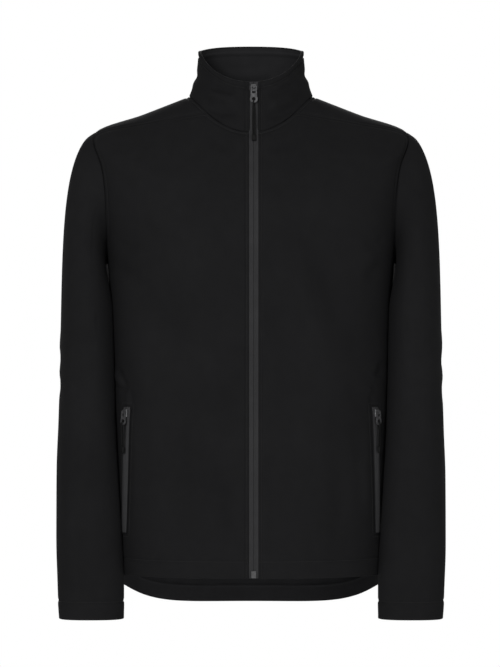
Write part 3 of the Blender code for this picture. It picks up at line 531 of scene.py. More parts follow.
def collar_pairs():
    around = neck_angles(1) + neck_back_angles()[1:-1] + [360 + a for a in reversed(neck_angles(-1))]
    rows = []
    for place in steps(COLLAR_ROWS, NECK_RING, NECK_RING + 1):
        angles = list(around)
        angles[0] = float(angle_at_x(place, zip_edge(1)))
        angles[-1] = 360 + float(angle_at_x(place, zip_edge(-1)))
        rows.append([(angle, place) for angle in angles])
    return np.array(rows)


def sleeve_row(z, turns):
    """Points of the wearer's left sleeve at one height below its cap."""
    table = SLEEVE[:, 1:]
    outer, inner, half_depth, middle = smooth_table(table, place_in(SLEEVE[:, 0], z))
    x_middle = (outer + inner) / 2
    points = []
    for turn in turns:
        cosine, sine = -math.cos(math.radians(turn)), -math.sin(math.radians(turn))
        reach = (abs(cosine) ** SLEEVE_SQUARE + abs(sine) ** SLEEVE_SQUARE) ** (-1 / SLEEVE_SQUARE)
        y = middle + half_depth * reach * sine
        half = (outer - x_middle) if cosine > 0 else (x_middle - inner) * SLEEVE_INNER_FULLER
        x = x_middle + half * reach * cosine
        if cosine < SLEEVE_BODY_SIDE:
            limit = body_half_width(y, z) + SLEEVE_CLEAR
            x = 0.5 * (x + limit + math.sqrt((x - limit) ** 2 + SLEEVE_CLEAR_BLEND ** 2))
        points.append((x, y, z))
    return np.array(points)


def cap_curve(start, end, end_way, turn, share):
    """A point of the sleeve's cap, on a curve from the armhole down to the first level row."""
    sine, cosine = math.sin(math.radians(turn)), math.cos(math.radians(turn))
    top = (1 - cosine) / 2
    way = CAP_OUT * top + CAP_DOWN * (1 - top)
    forward = 1 if sine > 0 else -1
    way = unit(way + np.array(CAP_SIDE) * (1, forward, 1) * abs(sine))
    chord = np.linalg.norm(end - start)
    first = start + way * chord * (CAP_START[0] + CAP_START[1] * top)
    second = end - end_way * chord * (CAP_END[0] + CAP_END[1] * top)
    t = share
    return (start * (1 - t) ** 3 + first * 3 * t * (1 - t) ** 2
            + second * 3 * t * t * (1 - t) + end * t ** 3)


def sleeve_points(side):
    """Rows from the cuff up to the armhole, each a closed ring, before they are refined."""
    front = steps(ARMHOLE_ROWS, 0.0, SHOULDER_SEAM_AT)
    turns = front + list(reversed(steps(ARMHOLE_ROWS, 360.0, SHOULDER_SEAM_AT)))[1:-1]
    cuff, top = SLEEVE[-1][0], SLEEVE[0][0]
    heights = [cuff, cuff + CUFF_FOLD] + steps(ARM_ROWS - 2, cuff + CUFF_FOLD, top)[1:]
    grid = [sleeve_row(z, turns) for z in heights]
    first, next_down = grid[-1], sleeve_row(top - CAP_NEXT_ROW, turns)
    starts = []
    for turn in turns:
        under = max(0.0, math.cos(math.radians(turn)))
        starts.append(body(*armhole(turn)) + np.array((ARMHOLE_GAP + UNDERARM_GAP * under ** 2, 0, 0)))
    for share in reversed(steps(CAP_ROWS)[:-1]):
        grid.append([cap_curve(start, end, unit(lower - end), turn, share)
                     for turn, start, end, lower in zip(turns, starts, first, next_down)])
    return np.array(grid) * np.array((side, 1, 1))


def crease_height(points, normals, creases):
    """How far creases raise or lower each point along its normal."""
    flat, ways = points.reshape(-1, 3), normals.reshape(-1, 3)
    height = np.zeros(len(flat))
    facing = {"front": -ways[:, 1], "back": ways[:, 1], "left": ways[:, 0], "right": -ways[:, 0]}
    for face, line, width, depth in creases:
        across = 0 if face in ("front", "back") else 1
        near = facing[face] > CREASE_SEEN
        if across:
            near &= (flat[:, 0] > 0) == (face == "left")
        spots = flat[near][:, [across, 2]]
        line = np.array(line)
        length = np.linalg.norm(np.diff(line, axis=0), axis=1)
        total, best = length.sum(), np.full(len(spots), np.inf)
        along, signed, before = np.zeros(len(spots)), np.zeros(len(spots)), 0.0
        for start, end, part in zip(line, line[1:], length):
            way = (end - start) / part
            offset = spots - start
            run = np.clip(offset @ way, 0, part)
            distance = np.linalg.norm(offset - run[:, None] * way, axis=1)
            closer = distance < best
            best = np.where(closer, distance, best)
            along = np.where(closer, (before + run) / total, along)
            signed = np.where(closer, offset @ np.array((way[1], -way[0])), signed)
            before += part
        end_share = np.clip(np.minimum(along, 1 - along) / CREASE_END, 0, 1)
        fade = CREASE_END_LEFT + (1 - CREASE_END_LEFT) * end_share ** 2 * (3 - 2 * end_share)
        trough = np.exp(-(best / width) ** 2)
        ridge = RIDGE * np.exp(-((signed - RIDGE_AT * width) / (RIDGE_WIDTH * width)) ** 2)
        ridge *= np.exp(-np.maximum(0, best - RIDGE_REACH * width) / width)
        ridge *= best < RIDGE_END * width
        shown = np.clip(facing[face][near] / CREASE_FACING, 0, 1)
        height[near] += CREASE_STRENGTH * depth * fade * (ridge - trough) * shown
    return height.reshape(points.shape[:-1])


def calmed(distance, calm):
    """The share of the creases that is left at a distance from an edge."""
    share, width = calm
    return 1 - share * np.exp(-(distance / width) ** 2)


def fold_step(distance, fold):
    """How far the turned cloth below a hem's fold stands out from the single cloth above."""
    return FOLD_STEP * np.clip((fold + FOLD_STEP_WIDTH / 2 - distance) / FOLD_STEP_WIDTH, 0, 1)


def lines_with_seams(count, finer, spacing, low_seam, high_seam, extra=()):
    """Places of a refined grid's lines between count coarse ones, closer together beside a seam."""
    even = [i / finer for i in range(count * finer + 1)]
    close = {0.0, float(count)}
    if low_seam:
        close |= {step / spacing for step in BESIDE_SEAM}
    if high_seam:
        close |= {count - step / spacing for step in BESIDE_SEAM}
    close |= set(extra)
    room = LINE_ROOM / finer
    kept = [at for at in even if min(abs(at - other) for other in close) > room]
    return np.array(sorted(set(kept) | close))


def refined(grid, row_at, column_at, row_corners=(), column_corners=(), ring=False):
    """A coarse grid at finer rows and columns, along smooth curves."""
    rows = smooth_table(grid, row_at, row_corners)
    columns = np.moveaxis(rows, 1, 0)
    if ring:
        wrapped = np.concatenate([columns[-3:], columns, columns[:3]])
        return np.moveaxis(smooth_table(wrapped, np.asarray(column_at) + 3), 0, 1)
    return np.moveaxis(smooth_table(columns, column_at, column_corners), 0, 1)


def distance_from_edge(points, edge):
    """How far each point of a grid lies from one of its edges, along its row or column."""
    axis = 1 if edge in ("left", "right") else 0
    step = np.linalg.norm(np.diff(points, axis=axis), axis=-1)
    zero = np.zeros_like(np.take(step, [0], axis=axis))
    run = np.cumsum(np.concatenate([zero, step], axis=axis), axis=axis)
    if edge in ("right", "top"):
        run = np.take(run, [-1], axis=axis) - run
    return run


def rolled(distance):
    """How far a panel's face turns in near a seam."""
    t = np.clip(1 - distance / SEAM_ROLL_WIDTH, 0, 1)
    return SEAM_ROLL * t * t


def groove(distance, middle, depth=STITCH_GROOVE):
    """How far a line of stitches pulls the face in."""
    return depth * np.exp(-((distance - middle) / STITCH_GROOVE_WIDTH) ** 2)


def tube_normals(grid):
    """Outward directions of a grid of closed rings."""
    up = np.gradient(grid, axis=0)
    across = np.roll(grid, -1, axis=1) - np.roll(grid, 1, axis=1)
    normal = unit(np.cross(across, up))
    out = grid - grid.mean(axis=1, keepdims=True)
    return np.where((normal * out).sum(axis=-1, keepdims=True) < 0, -normal, normal)


def plain_mesh(name, vertices, faces, uv, finishes):
    """A mesh object with one place in its UV map for each vertex, in metres."""
    mesh = bpy.data.meshes.new(name)
    mesh.from_pydata(vertices, [], faces)
    layer = mesh.uv_layers.new(name="UVMap")
    corners = np.empty(len(mesh.loops), dtype=np.int32)
    mesh.loops.foreach_get("vertex_index", corners)
    layer.data.foreach_set("uv", np.asarray(uv, dtype=np.float32)[corners].ravel())
    for finish in finishes:
        mesh.materials.append(finish)
    mesh.shade_smooth()
    obj = bpy.data.objects.new(name, mesh)
    bpy.context.scene.collection.objects.link(obj)
    return obj


RIM = (math.radians(45), math.radians(90), math.radians(135))
INSIDE_UV = np.array((0.0, 0.5))    # the inner face's weave starts this far from the outer face's


def shell(name, face, normals, thickness, finish, ring=False, plain_inside=None, inside=None):
    """A closed thin wall with rounded edges, from its outer face moved in by its thickness.

    The wall's inner face follows plain_inside where it is given, and has the material inside, or else the
    softshell's inner knit, made lighter than its own tone as painted light for the shade inside the collar
    and the back's tail. A ring is closed round its rows.
    """
    rows, columns = face.shape[:2]
    if not isinstance(thickness, np.ndarray):
        thickness = np.full((rows, columns), thickness)
    inner_base = face if plain_inside is None else plain_inside
    inner = inner_base - normals * thickness[..., None]
    count = rows * columns
    vertices = [face.reshape(-1, 3), inner.reshape(-1, 3)]
    u = np.concatenate([np.zeros((rows, 1)), np.cumsum(np.linalg.norm(np.diff(face, axis=1), axis=-1), 1)], 1)
    v = np.concatenate([np.zeros((1, columns)), np.cumsum(np.linalg.norm(np.diff(face, axis=0), axis=-1), 0)])
    u -= u[:, [columns // 2]]
    uv = np.stack([u, v], axis=-1).reshape(-1, 2)
    uvs = [uv, uv + INSIDE_UV]
    index = np.arange(count).reshape(rows, columns)
    across = np.roll(index, -1, axis=1) if ring else index[:, 1:]
    here = index if ring else index[:, :-1]
    a, b, c, d = here[:-1], across[:-1], across[1:], here[1:]
    quads = np.stack([a, b, c, d], axis=-1).reshape(-1, 4)
    turned = np.stack([a, d, c, b], axis=-1).reshape(-1, 4) + count
    faces = [quads, turned]
    start = 2 * count
    profiles = {}

    def rim(edge, line, beyond, flip):
        """Rounds one edge between the outer and the inner face."""
        nonlocal start
        outer_line, inner_line = face.reshape(-1, 3)[line], inner.reshape(-1, 3)[line]
        middle, half = (outer_line + inner_line) / 2, (outer_line - inner_line) / 2
        way = unit(beyond) * np.linalg.norm(half, axis=1, keepdims=True)
        strip = [line]
        for turn in RIM:
            vertices.append(middle + half * math.cos(turn) + way * math.sin(turn))
            uvs.append(uv[line])
            strip.append(np.arange(start, start + len(line)))
            start += len(line)
        strip.append(line + count)
        strip = np.array(strip)
        profiles[edge] = strip
        if ring:
            strip = np.concatenate([strip, strip[:, :1]], axis=1)
        one, two, three, four = strip[:-1, :-1], strip[:-1, 1:], strip[1:, 1:], strip[1:, :-1]
        band = np.stack([one, four, three, two] if flip else [one, two, three, four], axis=-1)
        faces.append(band.reshape(-1, 4))

    rim("bottom", index[0], face[0] - face[1], True)
    rim("top", index[-1], face[-1] - face[-2], False)
    tips = []
    if not ring:
        rim("left", index[:, 0], face[:, 0] - face[:, 1], False)
        rim("right", index[:, -1], face[:, -1] - face[:, -2], True)
        for first, k, second, m, flip in (("bottom", 0, "left", 0, False), ("bottom", -1, "right", 0, True),
                                          ("top", 0, "left", -1, True), ("top", -1, "right", -1, False)):
            one, two = profiles[first][:, k], profiles[second][:, m]
            for i in range(len(one) - 1):
                tip = [one[i], one[i + 1], two[i + 1], two[i]]
                tips.append(tuple(dict.fromkeys(int(t) for t in (reversed(tip) if flip else tip))))
    all_faces = [tuple(quad) for part in faces for quad in part.tolist()] + tips
    obj = plain_mesh(name, np.concatenate(vertices).tolist(), all_faces, np.concatenate(uvs),
                     [finish, inside or INNER_KNIT_AND_PAINTED_LIGHT])
    for inner_face in obj.data.polygons[len(quads):2 * len(quads)]:
        inner_face.material_index = 1
    shape = bmesh.new()
    shape.from_mesh(obj.data)
    bmesh.ops.recalc_face_normals(shape, faces=shape.faces)
    shape.to_mesh(obj.data)
    shape.free()
    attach(obj, JACKET)
    return obj


def read_at(distance, run, rows):
    """A row of numbers at a distance along a path, between the rows that it has."""
    return np.array([np.interp(distance, run, rows[:, k]) for k in range(3)])


def inset_path(points, normals, edge, distance):
    """A line on a grid's face at one distance from an edge, with the face's directions along it."""
    run = distance_from_edge(points, edge)
    if edge in ("bottom", "top"):
        run, points, normals = run.T, points.swapaxes(0, 1), normals.swapaxes(0, 1)
    path, ways = [], []
    for row, row_points, row_normals in zip(run, points, normals):
        order = np.argsort(row)
        path.append(read_at(distance, row[order], row_points[order]))
        ways.append(read_at(distance, row[order], row_normals[order]))
    return np.array(path), unit(np.array(ways))


# A stitch from end to end: place along it, and width, each as a share
STITCH_RINGS = ((-0.5, 0.0), (-0.44, 0.62), (-0.25, 0.95), (0.0, 1.0), (0.25, 0.95), (0.44, 0.62), (0.5, 0.0))
STITCH_SIDES = 6
STITCH_ARCH = 0.55        # how far its middle rises and its ends sink, in threads
STITCH_SUNK = 0.15


def stitches(name, paths):
    """Rows of stitches as small rounded threads along paths on the cloth, in one mesh."""
    vertices, faces, uvs = [], [], []
    for path, ways in paths:
        step = np.linalg.norm(np.diff(path, axis=0), axis=1)
        run = np.concatenate([[0.0], np.cumsum(step)])
        for middle in np.arange(STITCH_LONG, run[-1] - STITCH_LONG, STITCH_EVERY):
            spot, out = read_at(middle, run, path), unit(read_at(middle, run, ways))
            ahead, back = read_at(middle + STITCH_AHEAD, run, path), read_at(middle - STITCH_AHEAD, run, path)
            along = unit(ahead - back)
            side = unit(np.cross(along, out))
            out = np.cross(side, along)
            first = len(vertices)
            for share, wide in STITCH_RINGS:
                arch = (1 - (2 * share) ** 2) * THREAD * STITCH_ARCH - THREAD * STITCH_SUNK
                centre = spot + along * share * STITCH_LONG + out * arch
                if wide == 0.0:
                    vertices.append(centre)
                    uvs.append((share * STITCH_LONG, 0.0))
                    continue
                for k in range(STITCH_SIDES):
                    turn = 2 * math.pi * k / STITCH_SIDES
                    reach = THREAD / 2 * wide
                    vertices.append(centre + side * reach * math.cos(turn) + out * reach * math.sin(turn))
                    uvs.append((share * STITCH_LONG, THREAD * k / STITCH_SIDES))
            rings = len(STITCH_RINGS) - 2
            for k in range(STITCH_SIDES):
                m = (k + 1) % STITCH_SIDES
                faces.append((first, first + 1 + m, first + 1 + k))
                for i in range(rings - 1):
                    low = first + 1 + i * STITCH_SIDES
                    faces.append((low + k, low + m, low + STITCH_SIDES + m, low + STITCH_SIDES + k))
                low = first + 1 + (rings - 1) * STITCH_SIDES
                faces.append((low + k, low + m, low + STITCH_SIDES))
    obj = plain_mesh(name, [tuple(p) for p in vertices], faces, uvs, [THREAD_BLACK])
    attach(obj, JACKET)
    return obj


# Materials

def feed(tree, socket, value):
    """Sets an input to a value, or links it to another node's output."""
    if isinstance(value, bpy.types.NodeSocket):
        tree.links.new(value, socket)
    else:
        socket.default_value = value


def tree_node(tree, kind, **inputs):
    """A node with its inputs fed by their names."""
    made = tree.nodes.new(kind)
    for key, value in inputs.items():
        feed(tree, made.inputs[key], value)
    return made


def maths(tree, operation, first, second=0.0):
    made = tree.nodes.new("ShaderNodeMath")
    made.operation = operation
    for socket, value in zip(made.inputs, (first, second)):
        feed(tree, socket, value)
    return made.outputs[0]


def new_group(name, inputs, outputs):
    """An empty node group with its named sockets."""
    group = bpy.data.node_groups.new(name, "ShaderNodeTree")
    kinds = {"colour": "NodeSocketColor", "value": "NodeSocketFloat"}
    for socket, kind, default in inputs:
        made = group.interface.new_socket(socket, in_out="INPUT", socket_type=kinds[kind])
        made.default_value = default
    for socket, kind in outputs:
        group.interface.new_socket(socket, in_out="OUTPUT", socket_type=kinds[kind])
    return group, group.nodes.new("NodeGroupInput"), group.nodes.new("NodeGroupOutput")


def mixed(tree, factor, first, second):
    made = tree.nodes.new("ShaderNodeMix")
    made.data_type = "RGBA"
    for socket, value in ((made.inputs[0], factor), (made.inputs[6], first), (made.inputs[7], second)):
        feed(tree, socket, value)
    return made.outputs[2]


def ranged(tree, value, low, high, to_low, to_high):
    """A value carried from one range to another."""
    made = tree_node(tree, "ShaderNodeMapRange", Value=value)
    for socket, number in zip(list(made.inputs)[1:5], (low, high, to_low, to_high)):
        socket.default_value = number
    return made.outputs[0]


def woven_group():
    """Woven threads from the UV map in metres, with lint and slow changes of tone."""
    group, given, result = new_group(
        "woven_cloth",
        (("Colour", "colour", (0.01, 0.01, 0.01, 1)), ("Worn colour", "colour", (0.02, 0.02, 0.02, 1)),
         ("Threads per metre", "value", 1500.0), ("Rib", "value", 0.5)),
        (("Colour", "colour"), ("Roughness", "value"), ("Height", "value")))
    place = tree_node(group, "ShaderNodeTexCoord")
    split = tree_node(group, "ShaderNodeSeparateXYZ", Vector=place.outputs["UV"])
    turn = maths(group, "MULTIPLY", given.outputs["Threads per metre"], math.pi)
    u = maths(group, "MULTIPLY", split.outputs["X"], turn)
    v = maths(group, "MULTIPLY", split.outputs["Y"], turn)
    plain = maths(group, "MULTIPLY", maths(group, "SINE", u), maths(group, "SINE", v))
    twill = maths(group, "SINE", maths(group, "ADD", u, v))
    slow = tree_node(group, "ShaderNodeTexNoise", Vector=place.outputs["Object"], Scale=9.0, Detail=3.0)
    middle = tree_node(group, "ShaderNodeTexNoise", Vector=place.outputs["Object"], Scale=70.0, Detail=4.0)
    fine = tree_node(group, "ShaderNodeTexNoise", Vector=place.outputs["Object"], Scale=1400.0, Detail=2.0)
    tone = maths(group, "ADD", maths(group, "MULTIPLY", slow.outputs[0], 0.6),
                 maths(group, "MULTIPLY", middle.outputs[0], 0.4))
    threads = maths(group, "ADD", maths(group, "MULTIPLY", plain, 0.5),
                    maths(group, "MULTIPLY", twill, given.outputs["Rib"]))
    worn = maths(group, "ADD", ranged(group, tone, 0.35, 0.65, 0.15, 0.75),
                 maths(group, "MULTIPLY", threads, 0.15))
    colour = mixed(group, worn, given.outputs["Colour"], given.outputs["Worn colour"])
    height = maths(group, "ADD", threads, maths(group, "MULTIPLY", fine.outputs[0], 1.2))
    group.links.new(colour, result.inputs["Colour"])
    group.links.new(ranged(group, tone, 0.3, 0.7, 0.92, 0.80), result.inputs["Roughness"])
    group.links.new(height, result.inputs["Height"])
    return group


def grained_group():
    """Fine grain and handling marks of a painted or moulded part."""
    group, given, result = new_group(
        "grained_finish",
        (("Colour", "colour", (0.1, 0.1, 0.1, 1)), ("Worn colour", "colour", (0.2, 0.2, 0.2, 1)),
         ("Grain scale", "value", 900.0), ("Roughness", "value", 0.4)),
        (("Colour", "colour"), ("Roughness", "value"), ("Height", "value")))
    place = tree_node(group, "ShaderNodeTexCoord")
    grain = tree_node(group, "ShaderNodeTexNoise", Vector=place.outputs["Object"],
                      Scale=given.outputs["Grain scale"], Detail=4.0)
    marks = tree_node(group, "ShaderNodeTexNoise", Vector=place.outputs["Object"], Scale=260.0, Detail=3.0)
    worn = ranged(group, marks.outputs[0], 0.42, 0.68, 0.0, 0.8)
    group.links.new(mixed(group, worn, given.outputs["Colour"], given.outputs["Worn colour"]),
                    result.inputs["Colour"])
    rough = maths(group, "ADD", given.outputs["Roughness"],
                  ranged(group, grain.outputs[0], 0.3, 0.7, -0.07, 0.07))
    group.links.new(rough, result.inputs["Roughness"])
    group.links.new(grain.outputs[0], result.inputs["Height"])
    return group


WOVEN = woven_group()
GRAINED = grained_group()


CLOTH_SHEEN = 0.004
SHEEN_ROUGHNESS = 0.5


def finish_material(name, group, values, bump, bump_depth, specular, metallic=0.0, sheen=0.0):
    """A material whose colour, roughness and relief come from one of the groups."""
    made = bpy.data.materials.new(name)
    made.use_nodes = True
    tree = made.node_tree
    shader = tree.nodes["Principled BSDF"]
    placed = tree.nodes.new("ShaderNodeGroup")
    placed.node_tree = group
    for key, value in values.items():
        placed.inputs[key].default_value = value
    relief = tree_node(tree, "ShaderNodeBump", Strength=bump, Distance=bump_depth,
                       Height=placed.outputs["Height"])
    tree.links.new(placed.outputs["Colour"], shader.inputs["Base Color"])
    tree.links.new(placed.outputs["Roughness"], shader.inputs["Roughness"])
    tree.links.new(relief.outputs["Normal"], shader.inputs["Normal"])
    shader.inputs["Specular IOR Level"].default_value = specular
    shader.inputs["Metallic"].default_value = metallic
    if sheen:
        shader.inputs["Sheen Weight"].default_value = sheen
        shader.inputs["Sheen Roughness"].default_value = SHEEN_ROUGHNESS
    return made


def grey(value, blue=1.0):
    return (value, value, value * blue, 1.0)


def woven(name, tones, blue, threads, rib, bump, bump_depth, specular, sheen=0.0):
    """A cloth or braid: its plain and its worn tone, how blue they are, and its threads to a metre."""
    plain, worn = tones
    values = {"Colour": grey(plain, blue), "Worn colour": grey(worn, blue),
              "Threads per metre": threads, "Rib": rib}
    return finish_material(name, WOVEN, values, bump, bump_depth, specular, sheen=sheen)


def grained(name, tones, blue, scale, roughness, bump, bump_depth, specular, metallic=0.0):
    """A painted or moulded part: its plain and its worn tone, how blue they are, and its grain's scale."""
    plain, worn = tones
    values = {"Colour": grey(plain, blue), "Worn colour": grey(worn, blue),
              "Grain scale": scale, "Roughness": roughness}
    return finish_material(name, GRAINED, values, bump, bump_depth, specular, metallic=metallic)


SOFTSHELL = woven("softshell_face", (0.0062, 0.0080), 1.06, 1700.0, 0.5, 0.22, 0.00012, 0.06, CLOTH_SHEEN)
# painted shade: the collar is the body's softshell in a darker tone, standing in for shade on the collar
COLLAR_PAINTED_SHADE = woven("softshell_collar_painted_shade", (0.0056, 0.0074), 1.06, 1700.0, 0.5, 0.22, 0.00012, 0.06, CLOTH_SHEEN)
# painted light: the inner knit is lighter than its own tone, so the shaded inside of the collar and the
# back's tail show bright
INNER_KNIT_AND_PAINTED_LIGHT = woven("softshell_inner_knit_and_painted_light", (0.0128, 0.0180), 1.06, 1300.0, 0.6, 0.25, 0.00015, 0.05,
                    CLOTH_SHEEN)
THREAD_BLACK = woven("sewing_thread", (0.0085, 0.0145), 1.0, 9000.0, 0.8, 0.3, 0.00005, 0.28)
ZIP_TAPE = woven("zip_tape_coated", (0.0170, 0.0235), 1.04, 1400.0, 0.2, 0.12, 0.00008, 0.12)
# painted light: the pocket zips' tape is the main zip's tape in a lighter tone, making up for the shade of
# the welts round it
POCKET_TAPE_PAINTED_LIGHT = woven("pocket_zip_tape_painted_light", (0.0250, 0.0330), 1.04, 1400.0, 0.2, 0.12, 0.00008, 0.12)
CORD_BRAID = woven("cord_braid", (0.0038, 0.0072), 1.0, 3200.0, 0.9, 0.4, 0.00010, 0.08)
MOULDED_END = grained("moulded_rubber", (0.0034, 0.0062), 1.0, 1400.0, 0.62, 0.2, 0.00010, 0.10)
GUNMETAL = grained("gunmetal_paint", (0.044, 0.078), 1.03, 1100.0, 0.40, 0.12, 0.00006, 0.45, 0.85)
# painted light: the pocket sliders are the main slider's gunmetal paint in a much lighter tone, standing in
# for the light they catch
POCKET_METAL_PAINTED_LIGHT = grained("gunmetal_small_sliders_painted_light", (0.100, 0.170), 1.03, 1100.0, 0.42, 0.12, 0.00006,
                       0.45, 0.80)
ZIP_PLASTIC = grained("zip_stop_plastic", (0.034, 0.050), 1.03, 1200.0, 0.5, 0.12, 0.00006, 0.35)


# The camera, the light and the floor

def make_camera():
    camera = bpy.data.objects.new("camera", bpy.data.cameras.new("camera"))
    bpy.context.scene.collection.objects.link(camera)
    camera.location = CAMERA_PLACE
    camera.rotation_euler = (math.radians(90), 0, 0)
    camera.data.lens = CAMERA_LENS
    camera.data.clip_end = 50
    bpy.context.scene.camera = camera


def area_light(name, place, aim, size, power):
    data = bpy.data.lights.new(name, "AREA")
    data.shape = "DISK"
    data.size = size
    data.energy = power
    light = bpy.data.objects.new(name, data)
    light.location = place
    light.rotation_euler = (Vector(aim) - Vector(place)).to_track_quat("-Z", "Y").to_euler()
    bpy.context.scene.collection.objects.link(light)


ROOM_LIGHT = 0.42         # the light of the white room, which the camera sees as pure white
FLOOR_Z = -1.35           # the jacket is worn, so the floor lies well below it
FLOOR_HALF = 3.2
FLOOR_TONE = 0.86
FLOOR_ROUGHNESS = 0.8
# Lights: name, place, what it is aimed at, width, power
LIGHTS = (
    ("key", (-1.2, -3.6, 0.8), (0, 0, -0.30), 1.1, 102),
    ("fill", (1.8, -3.3, -1.0), (0, 0, -0.35), 1.6, 40),
    ("back", (0.0, 3.2, 1.5), (0, 0, -0.30), 1.2, 42),
)


def make_studio():
    world = bpy.data.worlds.new("white_studio")
    world.use_nodes = True
    tree = world.node_tree
    tree.nodes["Background"].inputs["Color"].default_value = (1, 1, 1, 1)
    ray = tree.nodes.new("ShaderNodeLightPath").outputs["Is Camera Ray"]
    tree.links.new(ranged(tree, ray, 0, 1, ROOM_LIGHT, 1.0), tree.nodes["Background"].inputs["Strength"])
    bpy.context.scene.world = world
    bpy.context.scene.view_settings.view_transform = "Standard"
    for light in LIGHTS:
        area_light(*light)
    floor_material = bpy.data.materials.new("pale_floor")
    floor_material.use_nodes = True
    shader = floor_material.node_tree.nodes["Principled BSDF"]
    shader.inputs["Base Color"].default_value = grey(FLOOR_TONE)
    shader.inputs["Roughness"].default_value = FLOOR_ROUGHNESS
    signs = ((-1, -1), (1, -1), (1, 1), (-1, 1))
    corners = [(x * FLOOR_HALF, y * FLOOR_HALF, FLOOR_Z) for x, y in signs]
    mesh = bpy.data.meshes.new("floor")
    mesh.from_pydata(corners, [], [(0, 1, 2, 3)])
    mesh.materials.append(floor_material)
    floor = bpy.data.objects.new("floor", mesh)
    bpy.context.scene.collection.objects.link(floor)


# Cords

def tube_faces(rings, sides, closed=False):
    """Faces between rings of vertices, and from the last ring back to the first where it is closed."""
    faces = []
    for i in range(rings if closed else rings - 1):
        j = (i + 1) % rings
        for k in range(sides):
            m = (k + 1) % sides
            faces.append((i * sides + k, i * sides + m, j * sides + m, j * sides + k))
    return faces


def make_cord(key, rider):
    """The braided loop of one puller, as a tube along its route."""
    route = np.array(CORD_ROUTES[key])
    path = smooth_table(route, np.linspace(0, len(route) - 1, CORD_RINGS + 1))
    run = np.concatenate([[0.0], np.cumsum(np.linalg.norm(np.diff(path, axis=0), axis=1))])
    along = unit(np.gradient(path, axis=0))
    side = np.cross(along[0], (0.0, 1.0, 0.0))
    vertices, uvs = [], []
    for spot, way, length in zip(path, along, run):
        side = unit(side - way * (side @ way))
        out = np.cross(way, side)
        twist = length * BRAID_TURNS
        for k in range(CORD_SIDES):
            turn = 2 * math.pi * k / CORD_SIDES
            strands = abs(math.cos(2 * turn + twist)) + abs(math.cos(2 * turn - twist))
            reach = CORD / 2 * (BRAID_LOW + BRAID_HIGH * strands)
            vertices.append(spot + side * reach * math.cos(turn) + out * reach * math.sin(turn))
            uvs.append((CORD * math.pi * k / CORD_SIDES, length))
    faces = tube_faces(len(path), CORD_SIDES)
    faces.append(tuple(reversed(range(CORD_SIDES))))
    faces.append(tuple(len(vertices) - CORD_SIDES + k for k in range(CORD_SIDES)))
    cord = plain_mesh(key + "_cord_braid", [tuple(p) for p in vertices], faces, uvs, [CORD_BRAID])
    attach(cord, rider)
    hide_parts(key + "_cord")


# Cloth

FINISHED = {}     # each maker's piece by its node: the cloth, its stitches and the grid of its outer face


def sew(node, cloth, face, paths):
    """Adds the stitches to a finished piece and puts it in its node's place."""
    sewn = stitches(node + "_stitches", paths)
    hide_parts(node)
    FINISHED[node] = (cloth, sewn, face)


def panel(pairs, row_corners, column_corners, stitch_in, fine_rows=()):
    """The face of one of the body's panels, with its rolled seams, creases and stitch lines.

    It gives the face, the outward directions and the thickness. stitch_in has the distance of the
    topstitching from each edge that is a seam, in the order in which the edges are worked.
    """
    rows, columns = pairs.shape[0] - 1, pairs.shape[1] - 1
    close_rows = [height / HEM_SPACING for height in HEM_LINES] + list(fine_rows)
    row_at = lines_with_seams(rows, PANEL_FINER, PANEL_SPACING, False, True, close_rows)
    column_at = lines_with_seams(columns, PANEL_FINER, PANEL_SPACING, True, True)
    grid = refined(pairs, row_at, column_at, row_corners, column_corners)
    points, normals = body(grid[..., 0], grid[..., 1]), body_normal(grid[..., 0], grid[..., 1])
    height = crease_height(points, normals, CREASES)
    for edge, inset in stitch_in.items():
        distance = distance_from_edge(points, edge)
        height *= calmed(distance, SEAM_CALM)
        height -= rolled(distance) + groove(distance, inset)
    distance = distance_from_edge(points, "bottom")
    height += fold_step(distance, HEM_FOLD) - groove(distance, HEM_FOLD)
    thickness = np.where(distance < HEM_FOLD, HEM_CLOTH, CLOTH)
    return points + normals * height[..., None], normals, thickness


def armhole_stitches(face, normals, edge):
    """The topstitching beside an edge from the armpit up, without the side seam below."""
    line = face[:, -1] if edge == "right" else face[:, 0]
    first = int(np.argmax(line[:, 2] > body(90.0, ARMPIT_RING)[2]))
    return tuple(part[first:] for part in inset_path(face, normals, edge, SEAM_STITCH_IN))


def make_fronts():
    """The two fronts. Each one's left edge is the zip, and its right edge the side seam and the armhole."""
    stitch_in = {"left": ZIP_STITCH_IN, "right": SEAM_STITCH_IN, "top": NECK_STITCH_IN}
    for side, node in ((-1, "front_right"), (1, "front_left")):
        face, normals, thickness = panel(front_pairs(side), (SIDE_ROWS,), (NECK_FRONT,), stitch_in,
                                         POCKET_FINE_ROWS)
        cloth = shell(node + "_cloth", face, normals, thickness, SOFTSHELL)
        sew(node, cloth, face, [
            inset_path(face, normals, "left", ZIP_STITCH_IN),
            inset_path(face, normals, "top", NECK_STITCH_IN),
            armhole_stitches(face, normals, "right"),
            inset_path(face, normals, "bottom", HEM_FOLD)])


def make_back():
    stitch_in = {"left": SEAM_STITCH_IN, "right": SEAM_STITCH_IN, "top": NECK_STITCH_IN}
    corners = (SIDE_ROWS, SIDE_ROWS + ARMHOLE_ROWS)
    face, normals, thickness = panel(back_pairs(), corners, (), stitch_in)
    cloth = shell("back_cloth", face, normals, thickness, SOFTSHELL)
    sew("back", cloth, face, [
        inset_path(face, normals, "top", NECK_STITCH_IN),
        inset_path(face, normals, "bottom", HEM_FOLD),
        armhole_stitches(face, normals, "left"),
        armhole_stitches(face, normals, "right")])


